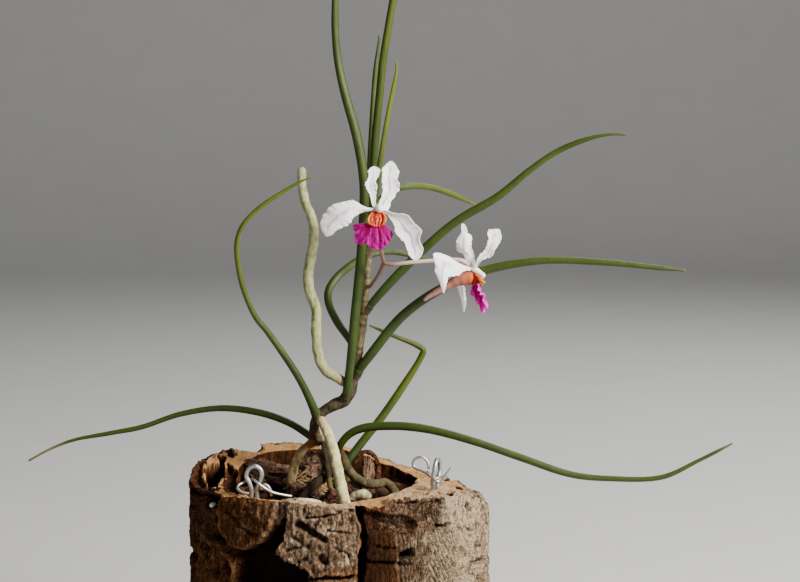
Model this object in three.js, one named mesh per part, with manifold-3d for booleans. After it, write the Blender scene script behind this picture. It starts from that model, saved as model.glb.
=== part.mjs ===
// A Holcoglossum orchid growing in a cork bark tube. Millimetres, +Z up, the viewer's side is -Y.
// The origin is the middle of the tube's flat bottom.
import * as THREE from "three";
import { mergeVertices } from "three/addons/utils/BufferGeometryUtils.js";
import Module from "manifold-3d";

const wasm = await Module();
wasm.setup();
const { Manifold, Mesh } = wasm;

// Driving dimensions
const POT_HEIGHT = 120;
const POT_COLUMNS = 72;
const WALL_ROWS = 13;
const MIX_COLUMNS = POT_COLUMNS / 2;
const PLUG_THICKNESS = 14;
const MIX_LEVEL = 108;
const GAP = 0.3;
const WALL_GAP = 0.5;
const PETAL_THICKNESS = 0.7;
const EYE_WIRE = 1.1;
const TIE_WIRE = 0.65;

// Height of the sawn rim at its outer and inner edge. Angles run from the front, positive to the right.
const RIM_OUTER = [
  [-180, 121], [-150, 124.5], [-128, 125], [-104, 123.5], [-90, 120], [-66, 118], [-47, 119.5],
  [-30, 121], [-10, 120], [5, 118], [18, 116], [24, 119.5], [45, 120], [58, 119], [68, 116],
  [80, 113.5], [102, 110], [135, 110], [150, 112], [164, 116], [172, 119], [180, 121],
];
const RIM_INNER = [
  [-180, 122], [-140, 123], [-90, 119], [-45, 119.5], [-25, 119], [0, 116.5], [18, 118],
  [35, 120], [55, 122], [80, 119], [110, 112], [140, 112], [155, 114.5], [170, 119], [180, 122],
];

// Radius of the hollow and of the bark's outside, by angle
const HOLLOW = [
  [-180, 58], [-145, 59], [-119, 54], [-90, 49], [-70, 51], [-45, 58], [-20, 58], [8, 57],
  [22, 55], [36, 50], [51, 45], [68, 42], [90, 38], [126, 37], [149, 42], [165, 52], [180, 58],
];
const OUTSIDE = [
  [-180, 71], [-150, 72], [-120, 72], [-90, 73], [-60, 72.5], [-35, 73], [-15, 73], [0, 73.5],
  [15, 72], [35, 72], [60, 73], [90, 73.5], [120, 73], [150, 71], [180, 71],
];

// Plates that stand out of the bark and the fissures between them: angles, heights and depth
const BARK = [
  { angles: [-46, -23], heights: [94, 130], out: 2.6 },
  { angles: [-16, 8], heights: [88, 130], out: 2.4 },
  { angles: [48, 76], heights: [83, 130], out: 1.2 },
  { angles: [-41, -12], heights: [78, 93], out: -9 },
  { angles: [-62, -42], heights: [55, 88], out: 2.2 },
  { angles: [-34, -14], heights: [30, 77], out: 2.6 },
  { angles: [-8, 8], heights: [6, 82], out: 2 },
  { angles: [-51, -46], heights: [4, 124], out: -5 },
  { angles: [-22, -17], heights: [90, 117], out: -7 },
  { angles: [8, 13], heights: [0, 116], out: -9 },
  { angles: [14, 33], heights: [104, 115], out: -2.5 },
  { angles: [22, 48], heights: [104, 118], out: -3.5 },
  { angles: [15, 40], heights: [12, 66], out: 2 },
  { angles: [40, 45], heights: [0, 72], out: -5 },
  { angles: [47, 78], heights: [18, 76], out: 3 },
  { angles: [62, 88], heights: [76, 81], out: -4.5 },
  { angles: [82, 87], heights: [8, 104], out: -5 },
  { angles: [88, 116], heights: [60, 104], out: 2.5 },
  { angles: [90, 122], heights: [8, 54], out: 3 },
  { angles: [118, 124], heights: [0, 112], out: -7 },
  { angles: [126, 158], heights: [40, 100], out: 2.6 },
  { angles: [130, 150], heights: [6, 34], out: 2 },
  { angles: [160, 166], heights: [0, 118], out: -6 },
  { angles: [-180, -158], heights: [52, 114], out: 2.4 },
  { angles: [-178, -150], heights: [4, 44], out: 2.8 },
  { angles: [-148, -142], heights: [0, 126], out: -7 },
  { angles: [-138, -112], heights: [66, 118], out: 2.8 },
  { angles: [-134, -110], heights: [10, 58], out: 2 },
  { angles: [-106, -100], heights: [0, 112], out: -6 },
  { angles: [-96, -66], heights: [80, 86], out: -3 },
  { angles: [-94, -56], heights: [8, 70], out: 1.6 },
  { angles: [-78, -73], heights: [4, 78], out: -4 },
];
const BARK_EDGE = 3;

// Natural hollows in the cork's wall, each a route with a half width and a vertical stretch
const POCKETS = [
  { route: [[-58, -25, 114], [-62, -8, 114], [-61, 12, 116]], radius: 4.4, stretch: 3.4 },
  { route: [[-56, 22, 122], [-55, 30, 123], [-53, 39, 123]], radius: 3, stretch: 3 },
  { route: [[-63, -40, 114], [-58, -42, 114], [-53, -50, 114.5]], radius: 5, stretch: 0.55 },
  { route: [[51, -38, 118], [56, -38, 118], [60, -37, 117]], radius: 2, stretch: 3 },
  { route: [[53, -6, 118], [57, -13, 118], [60, -19, 117]], radius: 1.6, stretch: 3 },
  { route: [[33, -60, 93], [35, -63, 93], [38, -69, 93]], radius: 2.5, stretch: 1 },
];

// Finishes: colour, roughness and metalness
const FINISH = {
  cork: [0x8a6a4a, 0.95, 0],
  mix: [0x4a3128, 0.97, 0],
  chunk: [0x6b4a3d, 0.95, 0],
  bead: [0xd8d2c4, 0.8, 0],
  stem: [0x6d5a3e, 0.75, 0],
  leaf: [0x5c7326, 0.5, 0],
  root: [0xc9c7a6, 0.85, 0],
  stalk: [0x9c6a58, 0.6, 0],
  sepal: [0xf2eeee, 0.6, 0],
  lip: [0xc22aa6, 0.55, 0],
  lobe: [0xd8742e, 0.55, 0],
  column: [0xf0d6d6, 0.5, 0],
  spur: [0xc98f86, 0.55, 0],
  wire: [0xb4b6b4, 0.35, 0.9],
};

const orchid = new THREE.Group();
const placed = [];

const vector = ([x, y, z]) => new THREE.Vector3(x, y, z);

// Reads a short list of [place, value] pairs, smooth between its entries
function between(list, place) {
  const next = list.findIndex(([at]) => at >= place);
  if (next < 0) return list.at(-1)[1];
  if (next === 0) return list[0][1];
  const [[start, low], [end, high]] = [list[next - 1], list[next]];
  return THREE.MathUtils.lerp(low, high, THREE.MathUtils.smoothstep(place, start, end));
}

// A steady value from -1 to 1 that looks random
function scatter(x, y, z) {
  const wave = Math.sin(x * 12.9898 + y * 78.233 + z * 37.719) * 43758.5453;
  return 2 * (wave - Math.floor(wave)) - 1;
}

function solidOf(geometry) {
  const bare = geometry.clone();
  bare.deleteAttribute("normal");
  bare.deleteAttribute("uv");
  const merged = mergeVertices(bare, 1e-4);
  const index = merged.index.array;
  const corners = [];
  for (let i = 0; i < index.length; i += 3) {
    const [a, b, c] = index.slice(i, i + 3);
    if (a !== b && b !== c && c !== a) corners.push(a, b, c);
  }
  const vertProperties = Float32Array.from(merged.attributes.position.array);
  return new Manifold(new Mesh({ numProp: 3, vertProperties, triVerts: Uint32Array.from(corners) }));
}

function moveVertices(geometry, move) {
  const position = geometry.attributes.position;
  const point = new THREE.Vector3();
  for (let i = 0; i < position.count; i++) {
    point.fromBufferAttribute(position, i);
    position.setXYZ(i, ...move(point));
  }
  return geometry;
}

// A tapering body bent along a route. radius is a list of [part of the length, mm] pairs.
function sweep(route, radius, options = {}, grow = 0) {
  const { sides = 8, steps = 14, across = [0, 1, 0], groove = null, stretch = 1, blunt = false } = options;
  const curve = new THREE.CatmullRomCurve3(route.map(vector), false, "centripetal");
  const length = curve.getLength();
  const tip = between(radius, 1);
  const profile = [new THREE.Vector2(0, 0)];
  for (let i = 0; i < steps; i++) profile.push(new THREE.Vector2(1, i / steps));
  if (blunt) profile.push(new THREE.Vector2(1, 1));
  else profile.push(new THREE.Vector2(0.72, 1 - (0.35 * tip) / length));
  profile.push(new THREE.Vector2(0, 1));
  const body = new THREE.LatheGeometry(profile, sides);
  return solidOf(moveVertices(body, (point) => {
    const along = THREE.MathUtils.clamp(point.y, 0, 1);
    const tangent = curve.getTangentAt(along);
    const depth = vector(across).addScaledVector(tangent, -vector(across).dot(tangent)).normalize();
    const side = tangent.clone().cross(depth);
    const around = Math.atan2(point.x, point.z);
    const reach = (between(radius, along) + grow) * Math.hypot(point.x, point.z);
    const fromGroove = groove === null ? 2 : 2 * Math.sin((around - groove) / 2);
    const notch = 1 - 0.3 * Math.exp(-(fromGroove ** 2) / 0.12);
    return curve.getPointAt(along)
      .addScaledVector(tangent, along === 1 ? grow : 0)
      .addScaledVector(depth, Math.cos(around) * reach * notch * stretch)
      .addScaledVector(side, Math.sin(around) * reach * notch);
  }));
}

// A thin blade: place(across, along) gives its middle surface, and both faces share the same triangles
function sheet(columns, rows, place, thickness, grow = 0) {
  const middle = [];
  for (let j = 0; j <= rows; j++) {
    for (let i = 0; i <= columns; i++) middle.push(place((2 * i) / columns - 1, j / rows));
  }
  const at = (i, j) => middle[j * (columns + 1) + i];
  const points = { front: [], back: [] };
  for (let j = 0; j <= rows; j++) {
    for (let i = 0; i <= columns; i++) {
      const right = at(Math.min(i + 1, columns), j).clone().sub(at(Math.max(i - 1, 0), j)).normalize();
      const ahead = at(i, Math.min(j + 1, rows)).clone().sub(at(i, Math.max(j - 1, 0))).normalize();
      const face = right.clone().cross(ahead).normalize();
      const rim = new THREE.Vector3();
      if (i === 0 || i === columns) rim.addScaledVector(right, i === 0 ? -grow : grow);
      if (j === 0 || j === rows) rim.addScaledVector(ahead, j === 0 ? -grow : grow);
      const middlePoint = at(i, j).clone().add(rim);
      points.front.push(middlePoint.clone().addScaledVector(face, thickness / 2 + grow));
      points.back.push(middlePoint.clone().addScaledVector(face, -thickness / 2 - grow));
    }
  }
  const vertices = [...points.front, ...points.back];
  const half = points.front.length;
  const triangles = [];
  const quad = (a, b, c, d) => triangles.push(a, b, c, a, c, d);
  for (let j = 0; j < rows; j++) {
    for (let i = 0; i < columns; i++) {
      const a = j * (columns + 1) + i;
      const [b, c, d] = [a + 1, a + columns + 2, a + columns + 1];
      quad(a, b, c, d);
      triangles.push(half + a, half + c, half + b, half + a, half + d, half + c);
    }
  }
  const rim = [];
  for (let i = 0; i < columns; i++) rim.push(i);
  for (let j = 0; j < rows; j++) rim.push(j * (columns + 1) + columns);
  for (let i = columns; i > 0; i--) rim.push(rows * (columns + 1) + i);
  for (let j = rows; j > 0; j--) rim.push(j * (columns + 1));
  rim.forEach((a, n) => {
    const b = rim[(n + 1) % rim.length];
    quad(b, a, half + a, half + b);
  });
  const geometry = new THREE.BufferGeometry();
  geometry.setAttribute("position", new THREE.Float32BufferAttribute(vertices.flatMap((p) => [...p]), 3));
  geometry.setIndex(triangles);
  return solidOf(geometry);
}

// A sepal or petal: half widths along its midline, a cupped section and waved edges
function tepal({ route, halfWidths, face, cup = 0.6, wave = 0.5, waves = 2.5, phase = 0 }, grow) {
  const curve = new THREE.CatmullRomCurve3(route.map(vector), false, "centripetal");
  return sheet(4, 8, (across, along) => {
    const tangent = curve.getTangentAt(along);
    const right = tangent.clone().cross(vector(face)).normalize();
    const outward = right.clone().cross(tangent).normalize();
    const ripple = Math.sin(2 * Math.PI * waves * along + phase + across);
    const width = between(halfWidths, along) * (1 + 0.05 * Math.sin(2 * Math.PI * 2 * waves * along + phase));
    const lift = (wave * ripple * Math.abs(across) - cup * across * across) * Math.sin(Math.PI * along);
    return curve.getPointAt(along).addScaledVector(right, across * width).addScaledVector(outward, lift);
  }, PETAL_THICKNESS, grow);
}

function overlap(a, b) {
  return [0, 1, 2].every((k) => a.min[k] < b.max[k] && b.min[k] < a.max[k]);
}

function largest(solid) {
  return solid.decompose().reduce((best, body) => (body.volume() > best.volume() ? body : best));
}

function addMesh(name, finish, solid) {
  const { vertProperties, triVerts } = solid.getMesh();
  const geometry = new THREE.BufferGeometry();
  geometry.setAttribute("position", new THREE.BufferAttribute(vertProperties, 3));
  geometry.setIndex(new THREE.BufferAttribute(triVerts, 1));
  geometry.computeVertexNormals();
  const [color, roughness, metalness] = FINISH[finish];
  const mesh = new THREE.Mesh(geometry, new THREE.MeshStandardMaterial({ color, roughness, metalness }));
  mesh.name = name;
  orchid.add(mesh);
}

// Cuts a solid back to a small gap from the pieces that are already there
function trimmed(solid) {
  const box = solid.boundingBox();
  const near = placed.filter((other) => overlap(box, other.boundingBox()));
  return largest(near.reduce((rest, other) => rest.subtract(other), solid));
}

function add(name, finish, make) {
  addMesh(name, finish, trimmed(make(0)));
  placed.push(make(GAP));
}

// The monopodial stem: it leaves the mix, leans left, bends at its old foot and rises in short joints
const STEM = [
  [0, 8, 98], [0.5, 7, 112], [0.8, 5, 124], [-0.5, 2.5, 132], [-5, 1, 136], [-9.5, 0, 138.5],
  [-11, -1, 143], [-9.8, -2, 148.5], [-6, -2, 152.3], [-1, -2, 155.2], [4, -1, 157.5], [7.4, 0, 162],
  [8.8, 1, 168.4], [10.4, 1, 176.4], [12.3, 2, 189.8], [13.9, 2, 202.3], [14.9, 2, 214.8],
  [16.4, 3, 232.2], [17.7, 4, 250],
];
const STEM_RADIUS = [
  [0, 3.6], [0.12, 3.4], [0.2, 2.8], [0.3, 2.4], [0.36, 2.5], [0.42, 3.1], [0.46, 2.7], [0.5, 2.4],
  [0.52, 2.6], [0.6, 2.1], [0.68, 2.3], [0.74, 1.7], [0.8, 1.9], [0.86, 1.5], [1, 1.5],
];
add("stem", "stem", (grow) => sweep(STEM, STEM_RADIUS, { sides: 8, steps: 26 }, grow));

// Leaves: round in section with a groove along the upper side, tapering to a point
const UP_RIGHT = Math.PI / 2;
const UP_LEFT = -Math.PI / 2;
const leaves = {
  leaf_low_left: {
    route: [[-9, -0.5, 136.5], [-14.3, 3, 139.7], [-23.4, 6, 144.8], [-37.6, 9, 149.4], [-58.1, 14, 151.1],
      [-79.8, 19, 147.2], [-100.2, 23, 139.8], [-116.4, 26, 136.2], [-135.8, 29, 132], [-148, 31, 127],
      [-159.7, 33, 120.4]],
    radius: [[0, 2.1], [0.1, 1.9], [0.6, 1.35], [1, 0.6]], groove: UP_LEFT,
  },
  leaf_tall_left: {
    route: [[-9.3, -2.5, 148.5], [-11.2, -5, 154.7], [-18.6, -8, 170.7], [-33.1, -12, 193.1],
      [-38.8, -14, 200.8], [-44.4, -16, 214.3], [-47.1, -18, 228.2], [-47.3, -20, 237.7], [-44.7, -22, 245.6],
      [-37.3, -23, 254], [-27.6, -24, 260.8], [-16.4, -25, 267.6], [-10.1, -26, 270.3]],
    radius: [[0, 2.3], [0.15, 1.9], [0.5, 1.4], [0.85, 1.1], [1, 0.5]], groove: UP_LEFT,
  },
  leaf_front: {
    route: [[3.4, -1.5, 157], [5, -6, 162], [6.8, -8.5, 173.7], [9.6, -10, 201.3], [12.6, -9, 230.8],
      [14.1, -8, 255.3], [14.1, -7, 265.1], [12.7, -6, 277.2], [9.7, -5, 291.9], [4.9, -4, 308.9],
      [1.4, -2, 324.9], [0, -1, 340.5], [0, 0, 355], [0.5, 1, 369.6], [1.5, 3, 383.2]],
    radius: [[0, 2], [0.2, 2.4], [0.6, 2.4], [0.8, 1.9], [0.93, 1.5], [1, 0.7]], groove: 0.6 * Math.PI,
  },
  leaf_mid_right: {
    route: [[9.6, 1, 169], [11.5, -1, 173], [18.3, -3, 182.5], [32.7, -4, 200.1], [51.5, -4, 213.5],
      [73.7, -3, 222.8], [100.7, -5, 227.7], [130, -8, 227.3], [154.3, -10, 225.2], [171.9, -11, 223.4]],
    radius: [[0, 2.2], [0.1, 2.5], [0.4, 2.4], [0.7, 1.8], [0.93, 1.4], [1, 0.6]], groove: UP_RIGHT,
  },
  leaf_upper_right: {
    route: [[13.7, 2, 200.5], [19.8, 2, 208.3], [36.7, 5, 226], [59.1, 6, 245.9], [80.3, 4, 258.9],
      [95.8, 1, 272], [109.3, -2, 281.5], [124.7, -6, 288], [135.2, -8, 290], [142.9, -9, 289.6]],
    radius: [[0, 2], [0.15, 2.4], [0.45, 2.2], [0.8, 1.5], [1, 0.6]], groove: UP_RIGHT,
  },
  leaf_centre: {
    route: [[17.5, 4, 247], [17.9, 4, 261.9], [19.4, 4, 286.6], [21.4, 4, 306.3], [23.4, 4, 325.9],
      [26.4, 4, 344.4], [28.8, 4, 357.6], [31.3, 3, 369.6], [34.7, 2, 383.1]],
    radius: [[0, 1.8], [0.3, 2], [0.8, 1.9], [0.93, 1.4], [1, 0.6]], groove: 0.6 * Math.PI,
  },
  leaf_back_left: {
    route: [[11, 2, 181], [7.3, 6, 186.3], [0.1, 14, 195.3], [-4.1, 20, 203.8], [-4.2, 24, 209.4],
      [-0.3, 29, 215.5], [7.3, 33, 221.7], [15.4, 36, 226.1], [26.6, 41, 227.7], [39, 45, 225.2],
      [51.4, 50, 221.6]],
    radius: [[0, 2], [0.5, 2.1], [0.85, 1.5], [1, 0.7]], groove: UP_LEFT,
  },
  leaf_back_upper: {
    route: [[17, 3.5, 240], [18.4, 7, 249], [21.3, 12, 255.5], [27.7, 18, 261], [36.8, 25, 262.6],
      [47, 33, 261.5], [55.7, 39, 258.6], [71, 50, 251.2]],
    radius: [[0, 1.6], [0.2, 1.9], [0.8, 1.6], [1, 0.6]], groove: UP_RIGHT,
  },
  leaf_right_bent: {
    route: [[3, 10.5, 106], [4.5, 12, 121.8], [10.5, 16, 130.3], [21.6, 20, 143.9], [33.3, 24, 160.3],
      [42.4, 26, 174.9], [43.8, 26, 179], [40.9, 26, 181.3], [29.2, 24, 186.4], [16.1, 22, 192.3]],
    radius: [[0, 2.3], [0.5, 2.1], [0.72, 1.7], [0.9, 1.1], [1, 0.6]], groove: UP_LEFT,
  },
  leaf_low_right: {
    route: [[0.5, 3.5, 128], [1.5, -2, 134.5], [5.9, -4, 140.5], [12.9, -6, 144.3], [26.8, -8, 145.9],
      [44.1, -10, 144.8], [66.3, -13, 139.6], [90.9, -15, 131.4], [116.4, -17, 123.1], [135, -18, 121.3],
      [160.4, -20, 122.4], [178, -20, 130.5], [195, -20, 139.3]],
    radius: [[0, 1.9], [0.15, 2.2], [0.5, 1.9], [0.8, 1.3], [0.95, 0.9], [1, 0.5]], groove: UP_RIGHT,
  },
  leaf_young: {
    route: [[18.2, 1, 246], [18.8, -2.2, 252], [20, -3, 262.3], [22.4, -5, 279.6], [25.9, -6, 300.2],
      [28.8, -6, 314.3], [30, -6, 321.1], [29.6, -6, 325.9]],
    radius: [[0, 1.3], [0.2, 1.5], [0.8, 1.1], [1, 0.6]], groove: UP_RIGHT,
  },
  leaf_rear: {
    route: [[16.6, 6, 240], [16.6, 10.5, 250], [16.8, 14, 266.2], [17.8, 18, 291], [19.2, 22, 315.8],
      [21.7, 26, 338.7]],
    radius: [[0, 1.5], [0.3, 1.7], [0.8, 1.3], [1, 0.6]], groove: UP_LEFT,
  },
};
for (const [name, { route, radius, groove }] of Object.entries(leaves)) {
  add(name, "leaf", (grow) => sweep(route, radius, { sides: 8, steps: route.length + 2, groove }, grow));
}

// Roots: blunt white cords that leave the stem, cross the rim or enter the mix
const TOWARDS_VIEWER = [1, 0, 0];
const roots = {
  root_aerial: {
    route: [[6.5, -0.5, 165], [0.6, -7, 169.6], [-5.2, -9, 173.8], [-8.6, -10, 181.9], [-9.5, -11, 194],
      [-9.5, -11, 203.9], [-12.9, -11, 214.7], [-12.8, -11, 224.6], [-10.8, -11, 235.9], [-10.8, -11, 247.2],
      [-14.6, -11, 257], [-16.1, -11, 265.3], [-16, -11, 274.1]],
    radius: [[0, 2.4], [0.5, 2.55], [1, 2.1]], steps: 18,
  },
  root_front: {
    route: [[-8, -2.5, 148.4], [-6, -8, 146.3], [-3.8, -13, 142.4], [-1, -22, 136.2], [1.7, -33, 127.8],
      [3.9, -44, 120.5], [6.3, -50.5, 112], [7, -52, 104]],
    radius: [[0, 2.3], [0.3, 2.6], [1, 2.7]], steps: 12, across: TOWARDS_VIEWER,
  },
  root_right: {
    route: [[1, 4, 133], [2.8, 0, 129.5], [4.8, -2, 124.5], [8.8, -4, 119.5], [14.8, -5, 116.2],
      [20.3, -3, 115.5], [24.2, 0, 115.4], [28.3, -2, 112.5], [31, -4, 107], [32, -5, 101]],
    radius: [[0, 1.9], [0.3, 2.3], [1, 2.4]], steps: 16, across: TOWARDS_VIEWER,
  },
  root_left: {
    route: [[-9, 0, 137.5], [-13.5, 0.5, 134.8], [-17.5, 0, 131.5], [-20.3, -2, 126.5], [-22.1, -4, 119.5],
      [-22.4, -6, 112], [-22.4, -7, 104]],
    radius: [[0, 2.1], [0.5, 2.3], [1, 2.2]], steps: 11, across: TOWARDS_VIEWER,
  },
  root_lower: {
    route: [[0.5, 5.5, 123], [-2.8, 0, 121.8], [-6.5, -8, 119.8], [-10.6, -16, 117.5], [-15, -24, 114.5],
      [-17, -29, 109], [-17.4, -31, 102]],
    radius: [[0, 2], [0.4, 2.3], [1, 2.3]], steps: 11, across: TOWARDS_VIEWER,
  },
  root_rim: {
    route: [[-30, -42, 109], [-27, -47, 115.5], [-23.7, -52, 119.6], [-17.7, -56, 120.6], [-11.9, -58, 120.3],
      [-7.2, -57.5, 119.2], [-3.5, -54.5, 115.5], [-2, -51, 109]],
    radius: [[0, 1.7], [0.3, 2], [0.6, 2.2], [1, 1.9]], steps: 14,
  },
  root_stub: {
    route: [[8.5, -12.5, 109], [9.5, -13.5, 113.6], [12, -15.5, 115.8], [15, -17, 115.9], [17, -17.8, 115]],
    radius: [[0, 1.7], [0.5, 2.1], [1, 1.9]], steps: 7,
  },
  root_strand: {
    route: [[-7.2, -0.5, 137.4], [-6.2, -5.2, 134], [-4.6, -9.5, 128], [-3.4, -13, 121], [-2, -17.5, 114],
      [-1.5, -20, 107]],
    radius: [[0, 1], [0.5, 1.1], [1, 0.9]], steps: 10, across: TOWARDS_VIEWER,
  },
};
for (const [name, { route, radius, steps, across }] of Object.entries(roots)) {
  add(name, "root", (grow) => sweep(route, radius, { sides: 8, steps, across }, grow));
}
add("side_shoot", "leaf", (grow) => sweep(
  [[-9, 0, 138.5], [-7.8, -3.4, 138.8], [-6.8, -5.8, 139.6], [-6.4, -6.8, 141]],
  [[0, 1.7], [0.6, 1.9], [1, 1.3]], { sides: 7, steps: 4, across: TOWARDS_VIEWER }, grow,
));

// The flower stalk: a short peduncle and two pedicels
function stalk(grow) {
  const peduncle = [[15, 1.5, 214.4], [16.6, -2, 214.3], [18.4, -5, 216.6], [21.4, -9, 221.4],
    [23.9, -14, 227.6]];
  const pedicelFront = [[23.9, -14, 227.2], [23, -19, 231.8], [22.2, -22, 236.5], [21.7, -21.5, 244.2],
    [21.3, -20, 250], [21.4, -21, 253]];
  const pedicelSide = [[23.6, -14, 227.3], [27.4, -15, 226.8], [36.6, -17, 227.9], [46.3, -18, 228.8],
    [56.1, -19, 229.4], [61.9, -20, 228.8], [66, -20.4, 226.6]];
  return sweep(peduncle, [[0, 1], [0.2, 0.8], [1, 1]], { sides: 6, steps: 5 }, grow)
    .add(sweep(pedicelFront, [[0, 0.9], [0.6, 1], [1, 1.4]], { sides: 6, steps: 7 }, grow))
    .add(sweep(pedicelSide, [[0, 0.9], [0.6, 0.95], [1, 1.4]], { sides: 6, steps: 8 }, grow));
}
add("flower_stalk", "stalk", stalk);

// The magenta mid-lobe of a lip: a fan from its narrow neck, with lobed edges and fine ridges
const LIP_OUTLINE = [
  [-88, 8], [-80, 10.6], [-68, 10.2], [-56, 12.2], [-42, 13.3], [-31, 12.8], [-25, 11.4], [-15, 12.6],
  [-4, 13.4], [8, 14.2], [20, 13.4], [30, 11.8], [37, 10.6], [47, 11.2], [57, 10.2], [66, 7], [85, 4.5],
];
const LIP_NECK = 1.6;
const LOBE_THICKNESS = 0.8;
function lip({ neck, right, down, front, spread = 1 }, grow) {
  const [start, end] = [LIP_OUTLINE[0][0], LIP_OUTLINE.at(-1)[0]];
  return sheet(20, 4, (across, along) => {
    const degrees = THREE.MathUtils.lerp(start, end, (across + 1) / 2);
    const angle = THREE.MathUtils.degToRad(degrees);
    const reach = THREE.MathUtils.lerp(LIP_NECK, between(LIP_OUTLINE, degrees), along);
    const ridge = 0.35 * Math.cos(14 * angle) * Math.sin(Math.PI * Math.min(1, along * 1.4));
    const frill = 0.7 * Math.sin(9 * angle) * along ** 3;
    const bow = -0.012 * reach * reach;
    return vector(neck)
      .addScaledVector(vector(right), spread * reach * Math.sin(angle))
      .addScaledVector(vector(down), reach * Math.cos(angle))
      .addScaledVector(vector(front), ridge + frill + bow);
  }, PETAL_THICKNESS, grow);
}

// The upright side lobes and the callus between them: a short trough whose sides stand forward
function sideLobes({ top, bottom, right, front, halfWidth, rise }, grow) {
  return sheet(6, 4, (across, along) => {
    const width = halfWidth * (0.55 + 0.45 * Math.sin(Math.PI * (0.15 + 0.6 * along)));
    const ear = rise * Math.abs(across) ** 1.6 * Math.sin(Math.PI * (0.1 + 0.8 * along));
    const callus = 0.7 * Math.exp(-((across / 0.3) ** 2)) * along;
    return vector(top).lerp(vector(bottom), along)
      .addScaledVector(vector(right), across * width)
      .addScaledVector(vector(front), ear + callus);
  }, LOBE_THICKNESS, grow);
}

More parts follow.
